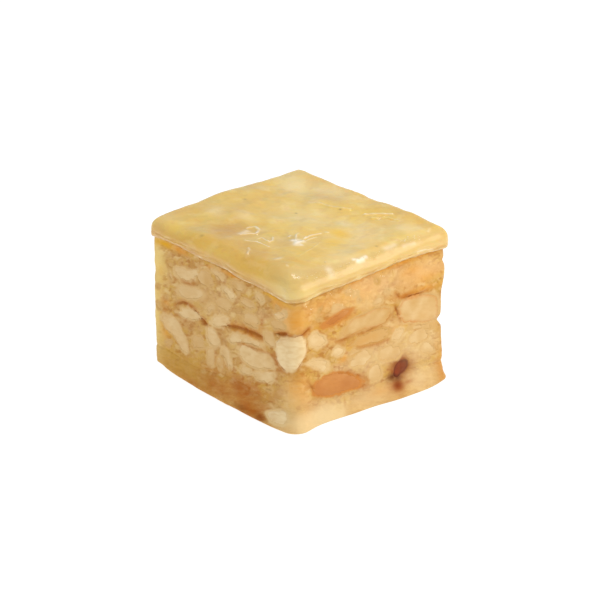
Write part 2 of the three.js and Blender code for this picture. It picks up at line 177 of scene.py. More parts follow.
def face_coordinates(face, p):
    """The reverse: distance along the face, height, and distance out of it."""
    if face == "corner":
        radius = EDGE_ROUNDING[0]
        dx = p[..., 0] - (HALF_LENGTH + FACE_OUT - radius)
        dy = p[..., 1] - (radius - HALF_WIDTH - FACE_OUT)
        along = radius * (np.arctan2(np.minimum(dy, 0), np.maximum(dx, 1e-6)) + math.pi / 4)
        along = along + np.maximum(dy, 0) * (dx > 0) - np.maximum(-dx, 0) * (dy < 0)
        return along, p[..., 2], np.hypot(np.maximum(dx, 0), np.minimum(dy, 0)) - radius
    (mx, my), (ax, ay), (ox, oy) = FACES[face]
    dx, dy = p[..., 0] - mx, p[..., 1] - my
    return dx * ax + dy * ay, p[..., 2], dx * ox + dy * oy


def face_normal(face, along):
    """Outwards from the face, one direction for each distance along it."""
    if face == "corner":
        return round_corner(along)[1]
    return np.broadcast_to(np.array(FACES[face][2], float), along.shape + (2,))


def spots(p, table, ragged=0.25):
    """The most that any round spot reaches: strength * exp(-(a / length)^2 - (u / height)^2), with
    lumps that fray its edge. For each face, a spot is along, up, half length, half height, strength."""
    worn = 1 + ragged * lumps(p, 1.6, SEED + 70) + 0.5 * ragged * lumps(p, 0.6, SEED + 71)
    most = np.zeros(p.shape[:-1])
    for face, rows in table.items():
        a, u, o = face_coordinates(face, p)
        off_face = (o / np.where(o > 0, 5, 2.5)) ** 2
        for along, up, half_length, half_height, strength in rows:
            far = ((a - along) / half_length) ** 2 + ((u - up) / half_height) ** 2 + off_face
            most = np.maximum(most, strength * np.exp(-far * worn))
    return most


# ---------------------------------------------------------------- mesh helpers
def ring_faces(start, rows, columns, poles=None):
    """Quads between rings of vertices numbered row by row, and triangles to the two poles if given."""
    index = start + np.arange(rows * columns).reshape(rows, columns)
    a, b = index[:-1], index[1:]
    quads = np.stack([a, np.roll(a, -1, 1), np.roll(b, -1, 1), b], -1).reshape(-1, 4)
    faces = quads.tolist()
    if poles:
        low = np.stack([np.full(columns, poles[0]), np.roll(index[0], -1), index[0]], -1)
        high = np.stack([np.full(columns, poles[1]), index[-1], np.roll(index[-1], -1)], -1)
        faces += low.tolist() + high.tolist()
    return faces


def new_mesh(name, points, faces):
    """A smooth-shaded mesh from points in millimetres."""
    mesh = bpy.data.meshes.new(name)
    mesh.from_pydata(points * MM, [], faces)
    mesh.shade_smooth()
    return mesh


def ring_mesh(name, rings):
    """rings[row, column] walks round the piece, from below upwards; both ends close on their middles."""
    rows, columns = rings.shape[:2]
    points = np.vstack([rings.reshape(-1, 3), rings[0].mean(0), rings[-1].mean(0)])
    size = rows * columns
    return new_mesh(name, points, ring_faces(0, rows, columns, (size, size + 1)))


def joined_rings(name, parts):
    """Many equal ring pieces in one mesh, each closed at both ends. parts[piece, row, column]."""
    pieces, rows, columns = parts.shape[:3]
    size = rows * columns + 2
    ends = np.stack([parts[:, 0].mean(1), parts[:, -1].mean(1)], 1)
    points = np.concatenate([parts.reshape(pieces, rows * columns, 3), ends], 1).reshape(-1, 3)
    faces = []
    for k in range(pieces):
        faces += ring_faces(k * size, rows, columns, (k * size + size - 2, k * size + size - 1))
    return new_mesh(name, points, faces)


def store(mesh, **marks):
    """A number per vertex for each mark that a material reads."""
    for name, values in marks.items():
        attribute = mesh.attributes.new(name, "FLOAT", "POINT")
        attribute.data.foreach_set("value", np.clip(np.asarray(values, np.float32), 0, 1).ravel())


def place(mesh, material, slot, *nodes):
    """Puts a mesh into the scene as a piece that stands for the named nodes."""
    piece = bpy.data.objects.new(mesh.name, mesh)
    bpy.context.scene.collection.objects.link(piece)
    mesh.materials.append(material)
    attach(piece, "root")
    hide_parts(*nodes)
    return piece


# ---------------------------------------------------------------- materials
def linear(code):
    """An sRGB hex colour as linear numbers: c / 12.92 where dark, else ((c + 0.055) / 1.055) ** 2.4."""
    parts = [int(code[i : i + 2], 16) / 255 for i in (1, 3, 5)]
    return [c / 12.92 if c <= 0.04045 else ((c + 0.055) / 1.055) ** 2.4 for c in parts] + [1.0]


def add(tree, kind, inputs=(), **settings):
    """Adds one node: its settings, then its inputs, each a socket to link, a hex colour or a value."""
    node = tree.nodes.new(kind)
    for key, value in settings.items():
        setattr(node, key, value)
    for key, value in dict(inputs).items():
        if isinstance(value, bpy.types.NodeSocket):
            tree.links.new(value, node.inputs[key])
        elif isinstance(value, str):
            node.inputs[key].default_value = linear(value)
        else:
            node.inputs[key].default_value = value
    return node


def patches(tree, where, size, low, high, most=1.0, detail=3.0):
    """Soft random patches about `size` mm across: noise, then a smooth step from low to high."""
    noise = add(tree, "ShaderNodeTexNoise", {"Vector": where, "Scale": 1 / (size * MM), "Detail": detail})
    step = {"Value": noise.outputs["Fac"], "From Min": low, "From Max": high, "To Max": most}
    return add(tree, "ShaderNodeMapRange", step, interpolation_type="SMOOTHSTEP").outputs[0]


def stained(tree, colour, *layers):
    """A colour with stains laid over it in turn. Each layer is how strongly it covers and its colour."""
    for cover, tint in layers:
        mixed = add(tree, "ShaderNodeMix", {0: cover, 6: colour, 7: tint}, data_type="RGBA")
        colour = mixed.outputs[2]
    return colour


def marks(tree, *names):
    """The numbers stored on the piece's vertices, in the order asked for."""
    return [add(tree, "ShaderNodeAttribute", attribute_name=name).outputs["Fac"] for name in names]


def layered(tree, where, flatten):
    """Coordinates in which the nuts' beds lie level. Heights are stretched by `flatten`, so that
    patterns come out flat."""
    parts = add(tree, "ShaderNodeSeparateXYZ", {"Vector": where}).outputs
    lean = {0: where, 1: (BED_SLOPES[0] * flatten, BED_SLOPES[1] * flatten, flatten)}
    height = add(tree, "ShaderNodeVectorMath", lean, operation="DOT_PRODUCT").outputs["Value"]
    return add(tree, "ShaderNodeCombineXYZ", {"X": parts["X"], "Y": parts["Y"], "Z": height}).outputs[0]


def start_material(name):
    """An empty material, its node tree and the place on the piece, in metres."""
    material = bpy.data.materials.new(name)
    material.use_nodes = True
    material.node_tree.nodes.clear()
    where = add(material.node_tree, "ShaderNodeTexCoord").outputs["Object"]
    return material, material.node_tree, where


def moist_surface(tree, colour, height, relief=0.09, rough=0.45, coat=0.06, coat_rough=0.2, sheen=0.1,
                  scatter=0.0, depth=0.0):
    """A moist food surface: `relief` mm of bump and a coat of syrup. Where `depth` is given, light
    travels `scatter` mm inside and comes out redder the further it went."""
    bump = add(tree, "ShaderNodeBump", {"Height": height, "Strength": 1.0, "Distance": relief * MM})
    look = {
        "Base Color": colour,
        "Roughness": rough,
        "IOR": 1.46,
        "Specular IOR Level": sheen,
        "Subsurface Weight": depth,
        "Subsurface Radius": (1.0, 0.75, 0.45),
        "Subsurface Scale": scatter * MM,
        "Coat Weight": coat,
        "Coat Roughness": coat_rough,
        "Coat IOR": 1.46,
        "Normal": bump.outputs[0],
    }
    shader = add(tree, "ShaderNodeBsdfPrincipled", look)
    add(tree, "ShaderNodeOutputMaterial", {"Surface": shader.outputs[0]})


# What each stain looks like, in the order in which they lie over one another.
STAINS = {"tan": "#b8874c", "milk": "#ead6b4", "cream": "#e6c890", "apricot": "#eab874", "olive": "#c0903a",
          "egg_yellow_and_edge_glow": "#eccd80", "gold": "#e0a61c", "honey": "#de9630", "amber": "#ad5c04", "russet": "#a04808",
          "burnt": "#5a1c00"}
STREAKED = ("amber", "olive", "honey", "cream")


def syrup_zones(tree, where, colour, most=1.0):
    """Stains a colour where syrup has gathered or fat has browned, as the piece's marks say; the egg stain
    also paints the glow of light through the front left edge. Some of the stains are streaked along the nuts' beds."""
    streaks = patches(tree, layered(tree, where, 3.2), 2.2, 0.35, 0.62)
    layers = []
    for name, tint in STAINS.items():
        cover = {"Value": marks(tree, name)[0], "To Max": most}
        cover = add(tree, "ShaderNodeMapRange", cover).outputs[0]
        if name in STREAKED:
            vary = add(tree, "ShaderNodeMapRange", {"Value": streaks, "To Min": 0.7}).outputs[0]
            cover = add(tree, "ShaderNodeMath", {0: cover, 1: vary}, operation="MULTIPLY").outputs[0]
        layers.append((cover, tint))
    return stained(tree, colour, *layers)


def paste_colour(tree, where):
    """Chopped nuts in honey syrup: soft-edged pale bits and patches of clearer or browner syrup in a golden tan
    paste, then whatever the piece's marks stain, painted shade in splits, pits and round nut rims among them."""
    bed = layered(tree, where, 1.7)
    stir = add(tree, "ShaderNodeTexNoise", {"Vector": where, "Scale": 1 / (1.2 * MM), "Detail": 2.0})
    push = {0: stir.outputs["Color"], 1: (1.6 * MM, 1.6 * MM, 1.6 * MM)}
    push = add(tree, "ShaderNodeVectorMath", push, operation="MULTIPLY").outputs[0]
    stirred = add(tree, "ShaderNodeVectorMath", {0: bed, 1: push}, operation="ADD").outputs[0]
    bits, rims, small = (
        add(tree, "ShaderNodeTexVoronoi", {"Vector": stirred, "Scale": 1 / (size * MM)}, feature=feature).outputs
        for size, feature in ((2.1, "F1"), (2.1, "DISTANCE_TO_EDGE"), (1.05, "F1"))
    )
    tone = add(tree, "ShaderNodeSeparateColor", {"Color": bits["Color"]}).outputs
    small_tone = add(tree, "ShaderNodeSeparateColor", {"Color": small["Color"]}).outputs
    # each cover is a value, where it starts to show, where it is full, and how strong it then is
    inner, pale, crumbs, dark_bits, line = (
        add(tree, "ShaderNodeMapRange", {"Value": value, "From Min": start, "From Max": full, "To Max": most},
            interpolation_type="SMOOTHSTEP").outputs[0]
        for value, start, full, most in (
            (rims["Distance"], 0.0, 0.42, 1.0), (tone[0], 0.3, 0.9, 1.0), (small_tone[0], 0.5, 1.0, 0.4),
            (tone[1], 0.6, 1.0, 0.35), (rims["Distance"], 0.14, 0.0, 0.35))
    )
    pale_bits = add(tree, "ShaderNodeMath", {0: pale, 1: inner}, operation="MULTIPLY").outputs[0]
    seams = {0: line, 1: patches(tree, where, 3.0, 0.5, 0.65)}
    seams = add(tree, "ShaderNodeMath", seams, operation="MULTIPLY").outputs[0]
    nut, nut_tone, toast, seam_and_shade, hollow_shade = marks(tree, "nut", "nut_tone", "toast", "seam_and_shade", "hollow_shade")
    flesh = stained(tree, "#e8cc98", (nut_tone, "#cca05c"))
    colour = stained(
        tree, "#c29048",
        (patches(tree, where, 4.0, 0.4, 0.6, 1.0, 1.0), "#cca048"),
        (patches(tree, bed, 3.1, 0.52, 0.66, 0.5, 1.0), "#cb9a62"),
        (dark_bits, "#b07c34"),
        (crumbs, "#d9b676"),
        (pale_bits, "#dbb97b"),
        (patches(tree, bed, 1.5, 0.54, 0.7, 0.7, 1.0), "#ab6a1c"),
        (seams, "#9a6424"),
    )
    colour = stained(tree, syrup_zones(tree, where, colour), (nut, flesh), (toast, "#c8823a"))
    # the last two stains: seams of the base and painted shade beside splits and round nut rims, then painted shade
    # in pits and splits
    return stained(tree, colour, (seam_and_shade, "#b06818"), (hollow_shade, "#9c5200"))


def nut_paste():
    """The filling, cut through by a knife: a moist paste of nuts chopped to crumbs."""
    material, tree, where = start_material("chopped_nuts_in_honey_syrup")
    colour = paste_colour(tree, where)
    fine = {"Vector": layered(tree, where, 1.7), "Scale": 1 / (0.6 * MM), "Detail": 4.0}
    fine = add(tree, "ShaderNodeTexNoise", fine).outputs["Fac"]
    moist_surface(tree, colour, fine)
    return material


def nut_flesh(name, pale, deep, skin, rough=0.45, sheen=0.2):
    """Cut nut kernel: close, waxy flesh a little deeper towards its skin, with a faint grain that runs
    lengthwise. Where the cut thins out at the rim, the paste shows through."""
    material, tree, where = start_material(name)
    bed = layered(tree, where, 2.6)
    tone, skinned, faded = marks(tree, "tone", "skin", "fade")
    flesh = stained(
        tree, pale,
        (tone, deep),
        (patches(tree, bed, 1.8, 0.42, 0.75, 0.3, 1.0), deep),
        (patches(tree, bed, 0.8, 0.5, 0.8, 0.15), deep),
        (patches(tree, layered(tree, where, 5.0), 2.4, 0.5, 0.7, 0.07), deep),
    )
    flesh = stained(tree, syrup_zones(tree, where, flesh, 0.3), (skinned, skin))
    colour = stained(tree, flesh, (faded, syrup_zones(tree, where, "#c7994f")))
    grain = add(tree, "ShaderNodeTexNoise", {"Vector": bed, "Scale": 1 / (1.2 * MM), "Detail": 4.0}).outputs["Fac"]
    moist_surface(tree, colour, grain, relief=0.02, rough=rough, coat=0.1, coat_rough=0.22, sheen=sheen)
    return material


# The lid's mark "above" is 1 this far above the lip; its sheets are drawn as if stretched upwards.
LIP_READS_TO = 5
SHEET_STRETCH = 6


def glazed_pastry():
    """Thin pastry sheets soaked until they are see-through, under a wet film of clear syrup."""
    material, tree, where = start_material("syrup_glazed_pastry")
    level = add(tree, "ShaderNodeMapping", {"Vector": where, "Scale": (1.0, 1.0, 4.0)}).outputs[0]
    pale, egg_yellow_and_edge_glow, honey, speck, glint, lip, rim = marks(tree, "pale", "egg_yellow_and_edge_glow", "honey", "speck", "glint", "lip", "rim")
    # sheets are laid one on another, so they are drawn in height above the lip
    parts = add(tree, "ShaderNodeSeparateXYZ", {"Vector": where}).outputs
    above = marks(tree, "above")[0]
    height = {0: above, 1: SHEET_STRETCH * LIP_READS_TO * MM}
    height = add(tree, "ShaderNodeMath", height, operation="MULTIPLY").outputs[0]
    stack = add(tree, "ShaderNodeCombineXYZ", {"X": parts["X"], "Y": parts["Y"], "Z": height}).outputs[0]
    low = {"Value": above, "From Min": 0.36, "From Max": 0.1}
    low = add(tree, "ShaderNodeMapRange", low, interpolation_type="SMOOTHSTEP").outputs[0]
    dark_sheet, light_sheet = (
        add(tree, "ShaderNodeMath", {0: sheet, 1: low}, operation="MULTIPLY").outputs[0]
        for sheet in (patches(tree, stack, 2.6, 0.52, 0.66, 0.55), patches(tree, stack, 2.6, 0.48, 0.34, 0.5))
    )
    colour = stained(
        tree, "#e9bf50",
        (patches(tree, where, 9.0, 0.35, 0.65), "#eecb62"),
        (patches(tree, where, 4.2, 0.5, 0.66, 0.7, 2.0), "#e3c460"),
        (patches(tree, where, 2.6, 0.5, 0.72, 0.5, 4.0), "#f8de90"),
        (patches(tree, where, 1.3, 0.54, 0.7, 0.3), "#e4ac4e"),
        (rim, "#e2c67a"),
        (pale, "#fae8b4"),
        (egg_yellow_and_edge_glow, "#f2c530"),
        # on the lid the honey mark is honey patches and painted shade on the front skirt
        (honey, "#cd9a48"),
        # lip: the lower lip's own duller colour, on the front partly painted shade
        (lip, "#c49446"),
        (dark_sheet, "#c08c38"),
        (light_sheet, "#f0d9a0"),
        (patches(tree, level, 3.5, 0.55, 0.62, 0.1), "#b0803a"),
        (speck, "#7f5626"),
        # painted highlights: near-white glints along the creases
        (glint, "#fff4dc"),
    )
    ripple = {"Vector": where, "Scale": 1 / (1.6 * MM), "Detail": 3.0}
    ripple = add(tree, "ShaderNodeTexNoise", ripple).outputs["Fac"]
    # a painted glint, a near-white painted highlight, lies on the surface, so no light travels inside there
    depth = add(tree, "ShaderNodeMapRange", {"Value": glint, "To Min": 0.5, "To Max": 0.0}).outputs[0]
    moist_surface(tree, colour, ripple, relief=0.1, rough=0.35, coat=0.7, coat_rough=0.09, sheen=0.4,
                  scatter=2.0, depth=depth)
    return material


def soaked_pastry():
    """The bottom sheets, pressed and soaked until they read as one dense golden layer that runs
    into the paste above without a border."""
    material, tree, where = start_material("syrup_soaked_pastry")
    bed = layered(tree, where, 3.0)
    pale, sheet = marks(tree, "pale", "sheet")
    dense = stained(
        tree, "#c8954a",
        (patches(tree, where, 6.0, 0.35, 0.65), "#d2a052"),
        (patches(tree, bed, 2.6, 0.48, 0.66, 0.6), "#dfb76e"),
        (patches(tree, bed, 1.5, 0.54, 0.7, 0.4), "#b57a34"),
        (patches(tree, bed, 0.7, 0.5, 0.72, 0.35), "#ab742c"),
        (pale, "#e8c78c"),
    )
    dense = stained(tree, syrup_zones(tree, where, dense), (marks(tree, "nut")[0], "#e2c48c"))
    colour = stained(tree, paste_colour(tree, where), (sheet, dense))
    fine = add(tree, "ShaderNodeTexNoise", {"Vector": bed, "Scale": 1 / (1.2 * MM), "Detail": 4.0}).outputs["Fac"]
    moist_surface(tree, colour, fine)
    return material


def syrup_beads():
    """Air trapped in the glaze as tiny pale beads that each catch the light; their pale colour is partly painted
    highlight.
    """
    material, tree, where = start_material("syrup_beads")
    colour = stained(tree, "#f0d28c", (patches(tree, where, 1.0, 0.4, 0.6), "#f8e6b8"))
    moist_surface(tree, colour, 0.5, relief=0.01, rough=0.3, coat=0.8, coat_rough=0.1, sheen=0.3)
    return material


PASTE = nut_paste()
BLANCHED = nut_flesh("blanched_nut_flesh", "#efd7a6", "#cca05c", "#c87a2c")
TOASTED = nut_flesh("toasted_nut_flesh", "#d6944a", "#b8702a", "#b06820")
CARAMEL = nut_flesh("caramelised_kernel", "#8a2c00", "#441000", "#401000", 0.35, 0.1)
LID_PASTRY = glazed_pastry()
BASE_PASTRY = soaked_pastry()
BEADS = syrup_beads()


# ---------------------------------------------------------------- the cut sides' lie
# Where the cut sides stand out or fall in, by face: along, up, half length, half height, how far.
SWOLLEN = {
    "front": [(-20, 14, 4, 14, 0.3), (3, 3, 12, 4, 0.35)],
    "right": [(18.4, 22.6, 3, 3.4, 0.55), (18.4, 5, 4, 4, 0.4), (8, 2, 12, 4, 0.35)],
}
SUNKEN = {
    "right": [(18.6, 24.4, 2, 0.6, 0.3), (18.6, 12.2, 2.5, 0.8, 0.8)],
    "front": [(-20.4, 20.3, 2, 1.2, 0.25)],
}


def wall_level(p):
    """How far the cut side stands out of its plane: broad lumps, plus the swollen and sunken places."""
    return 0.02 + 0.1 * crumble(p, 5.0, SEED, 2) + spots(p, SWOLLEN, 0) - spots(p, SUNKEN, 0)


def foot_level(p):
    """How far the base's side stands out above the wall: its soft foot, fading up to its top edge."""
    share = np.clip(p[..., 2] / base_top(p[..., 0], p[..., 1]), 0, 1)
    return swells(FOOT_SWELLS, p[..., 0], p[..., 1]) * (1 - share) ** FOOT_FLARE


def wall_grain(p):
    """The crumbs' own relief on a cut side: four octaves of lumps, from 2.2 mm across downwards."""
    return 0.05 * crumble(p, 2.2, SEED + 3, 4, 0.7)


# ---------------------------------------------------------------- nuts that the knife cut through
ANGLES = np.linspace(0, 2 * math.pi, 96, endpoint=False)
# How ragged the knife left the edges of kernels and of chopped nuts, and how many places are tried for
# the chips that are placed by chance: on each plainer face, and for the small ones in all.
KERNEL_CHIPPING, CHIP_CHIPPING = 0.06, 0.16
CHIP_TRIES, SMALL_CHIP_TRIES = 90, 280
# How far the paste laps onto a nut's rim, and how far and how strongly a nut colours the paste.
LAP = 0.07
HALO_REACH, HALO_STRENGTH = 0.55, 0.95


class CutNut:
    """A nut's section in the face: middle, tilt, half sizes, and its outline as a distance by angle,
    both measured after the half sizes are scaled to one."""

    def __init__(self, face, along, up, tilt, half_length, half_height, reach, tone=0.3, proud=0.05, halo="nut"):
        self.face, self.along, self.up, self.tilt = face, along, up, tilt
        self.half = np.array([half_length, half_height])
        self.reach = reach
        self.tone, self.proud, self.halo = tone, proud, halo

    def beyond(self, along, up):
        """About how far points lie outside the outline, in mm; negative inside."""
        c, s = math.cos(self.tilt), math.sin(self.tilt)
        da, du = along - self.along, up - self.up
        x, y = (da * c + du * s) / self.half[0], (du * c - da * s) / self.half[1]
        angle = np.arctan2(y, x) % (2 * math.pi)
        reach = np.interp(angle, ANGLES, self.reach, period=2 * math.pi)
        size = np.hypot(self.half[0] * np.cos(angle), self.half[1] * np.sin(angle))
        return (np.hypot(x, y) - reach) * np.minimum(size, 1.5 * self.half[1])


def traced(face, outline, chipped=0.0, seed=0, **finish):
    """A nut from a few outline points (along, up): a smooth closed curve through them, Catmull-Rom
    between each pair, with small chips out of its edge."""
    p = np.array(outline, float)
    n = len(p)
    t = np.linspace(0, n, 12 * n, endpoint=False)
    k = t.astype(int)
    f = (t - k)[:, None]
    p0, p1, p2, p3 = (p[(k + d) % n] for d in (-1, 0, 1, 2))
    curve = 0.5 * (
        2 * p1 + (p2 - p0) * f + (2 * p0 - 5 * p1 + 4 * p2 - p3) * f**2 + (3 * p1 - p0 - 3 * p2 + p3) * f**3
    )
    middle = (curve.max(0) + curve.min(0)) / 4 + curve.mean(0) / 2
    q = curve - middle
    tilt = 0.5 * math.atan2(2 * (q[:, 0] * q[:, 1]).mean(), (q[:, 0] ** 2 - q[:, 1] ** 2).mean())
    turned = q @ np.array([[math.cos(tilt), -math.sin(tilt)], [math.sin(tilt), math.cos(tilt)]])
    half = np.abs(turned).max(0)
    x, y = (turned / half).T
    angle = np.arctan2(y, x) % (2 * math.pi)
    order = np.argsort(angle)
    reach = np.interp(ANGLES, angle[order], np.hypot(x, y)[order], period=2 * math.pi)
    if chipped:
        edge = np.stack([middle[0] + half[0] * np.cos(ANGLES), middle[1] + half[0] * np.sin(ANGLES), 0 * ANGLES], -1)
        coarse, fine = (lumps(edge, size, SEED + start + seed) for size, start in ((1.1, 90), (0.5, 91)))
        reach = reach * (1 + chipped * coarse + 0.5 * chipped * fine)
    return CutNut(face, middle[0], middle[1], tilt, half[0], half[1], reach, **finish)


def chopped(face, along, up, length, height, tilt, draw, sides=6, **finish):
    """A nut chopped on a few straight cuts: reach(angle) = (sum over the cuts of
    max(cos(angle - cut) / depth, 0) ** 9) ** (-1 / 9), so the corners are soft."""
    roundness = 9
    cuts = (np.arange(sides) + draw.uniform(-0.33, 0.33, sides)) * 2 * math.pi / sides
    depths = draw.uniform(0.72, 1.05, sides)
    facing = np.maximum(np.cos(ANGLES[:, None] - cuts) / depths, 0)
    reach = (facing**roundness).sum(1) ** (-1 / roundness)
    return CutNut(face, along, up, math.radians(tilt), length / 2, height / 2, reach / reach.max(), **finish)


def nut_rings(nut, columns, cap_rows, turn_rows, depth, blend):
    """Rings of one cut nut. The surface follows the cut side, dips a little over the last `blend` mm
    so that the paste laps onto it, then turns in like half an ellipsoid `depth` deep. Also gives how
    far each point is inside the outline."""
    pick = np.linspace(0, len(ANGLES), columns, endpoint=False).astype(int)
    angle = ANGLES[pick]
    edge = nut.reach[pick, None] * np.stack([np.cos(angle), np.sin(angle)], -1) * nut.half
    size = np.hypot(edge[:, 0], edge[:, 1])
    rows = [(s + 0 * size, -LAP * smooth(blend, 0.0, size * (1 - s))) for s in np.linspace(0, 1, cap_rows + 1)[1:]]
    for a in np.linspace(0, math.pi / 2, turn_rows + 2)[1:-1]:
        rows.append((0 * size + math.cos(a), 0 * size - LAP - depth * math.sin(a)))
    share = np.array([r[0] for r in rows])
    out = np.array([r[1] for r in rows])
    flat = edge[None] * share[..., None]
    c, s = math.cos(nut.tilt), math.sin(nut.tilt)
    along = nut.along + flat[..., 0] * c - flat[..., 1] * s
    up = nut.up + flat[..., 0] * s + flat[..., 1] * c
    points = on_face(nut.face, along, up)
    lift = nut.proud + wall_level(points) + foot_level(points) + 0.03 * crumble(points, 1.3, SEED + 40, 3) + out
    points[..., :2] += lift[..., None] * face_normal(nut.face, along)
    return points, size * (1 - share)


# The large kernels, one piece each: name, face, finish, skin at the rim, tone, outline (along, up).
KERNELS = [
    ("front_cut_nut", "front", BLANCHED, 0.0, 0.35,
     [(4.3, 12), (5.6, 13.1), (9.4, 13.2), (12.6, 13.6), (14.4, 12.4), (14.2, 11.1), (11.6, 10.2), (9, 9.3),
      (6.4, 9.5), (4.4, 10.2)]),
    ("front_split_nut", "front", BLANCHED, 0.0, 0.4,
     [(-18, 10.6), (-16.8, 11.8), (-14.6, 12.1), (-12.6, 10.8), (-11.1, 8.8), (-10.3, 7), (-10.6, 5.6),
      (-11.8, 5.4), (-13.4, 6.6), (-15, 8.2), (-17.2, 9)]),
    ("front_upper_nut", "front", BLANCHED, 0.0, 0.45,
     [(-13.6, 17.8), (-12.6, 19.2), (-9.5, 20), (-6.5, 20.2), (-5.2, 19.6), (-6.8, 18.3), (-9.5, 17.3), (-12, 17)]),
    ("front_base_nut", "corner", BLANCHED, 0.0, -0.45,
     [(-6.9, 2.1), (-5.2, 3.1), (-3, 3.5), (-1.9, 3.1), (-1.7, 2.1), (-2.4, 1.1), (-5.2, 1)]),
    ("right_long_almond", "right", BLANCHED, 0.4, 0.85,
     [(-7.9, 17), (-6, 18.6), (-2.6, 19.4), (2, 19.5), (4.9, 18.6), (5.2, 17.3), (4.2, 16.2), (1.5, 15.7),
      (-3, 15.9), (-6.5, 16.1)]),
    ("right_edge_almond", "right", BLANCHED, 0.6, 0.65,
     [(6.7, 16.4), (6.9, 18.4), (8.6, 19.3), (12, 19.1), (16, 18.2), (17.5, 16.9), (17.6, 13.8), (16.8, 12.8),
      (14, 12.8), (10.6, 13.6), (8.1, 14.6)]),
    ("corner_nut", "corner", BLANCHED, 0.0, -0.22,
     [(-4.8, 16.8), (-3.6, 18.3), (-0.9, 19), (0.9, 19.2), (1.9, 17.8), (1.8, 16.3), (1.2, 14.7), (0.5, 13.4),
      (-0.1, 12.7), (-1.2, 12.4), (-2.7, 12.1), (-3.9, 12.4), (-4.8, 13.2), (-5.1, 14.8)]),
    ("back_cut_almond", "back", BLANCHED, 0.4, 0.4,
     [(-16.8, 15), (-15.6, 17.4), (-12.4, 18.8), (-8.6, 18.9), (-4.5, 17.1), (-5.8, 15.6), (-9.5, 14.2),
      (-13.6, 13.6)]),
    ("back_split_nut", "back", BLANCHED, 0.1, 0.3,
     [(6.3, 18.2), (7.6, 20.4), (10.6, 21.6), (14.6, 21.8), (15.6, 20.8), (13.8, 19.6), (10.2, 18), (7.6, 17.2)]),
    ("left_cut_almond", "left", BLANCHED, 0.4, 0.4,
     [(1.6, 17.6), (3, 19.6), (6.8, 19.9), (11, 18.6), (14, 16.8), (12, 15.6), (8.2, 15), (4, 15.6)]),
    ("left_split_nut", "left", BLANCHED, 0.1, 0.3,
     [(-14, 8.6), (-13.6, 11), (-10.8, 13), (-7.2, 13.8), (-4.8, 13.4), (-6.2, 11.4), (-9.4, 9.2), (-12.2, 8)]),
    ("right_toasted_almond", "right", TOASTED, 0.25, 0.4,
     [(-14.5, 7.5), (-13.5, 9.1), (-10.4, 9.7), (-6.8, 8.9), (-3.8, 7.2), (-2.3, 5.6), (-3.1, 4.8), (-5.8, 4.9),
      (-10, 5.2), (-13, 5.9)]),
    ("right_skin_slice", "right", TOASTED, 0.6, 0.7,
     [(-12.1, 20), (-10, 21), (-7, 21.4), (-4.8, 21.1), (-6, 20.3), (-8.4, 19.6), (-10.6, 19.3)]),
    ("back_toasted_almond", "back", TOASTED, 0.3, 0.4,
     [(0.9, 9.8), (2.8, 11.8), (6.6, 12), (11, 10.4), (14, 8.6), (12.2, 7.2), (8, 6.9), (3.4, 7.6)]),
    ("left_toasted_almond", "left", TOASTED, 0.3, 0.4,
     [(-1.6, 7.4), (0.4, 9.7), (4, 10.6), (8.2, 10.2), (10.6, 8.8), (8.6, 7.3), (4.6, 6.2), (0.6, 6)]),
    ("right_dark_kernel", "right", CARAMEL, 0.4, 0.3,
     [(5.3, 4.4), (5.5, 5.9), (6.7, 7.1), (8.3, 7.4), (9.8, 6.7), (9.9, 5.3), (8.9, 4.3), (7.4, 3.9), (6.2, 3.7)]),
]

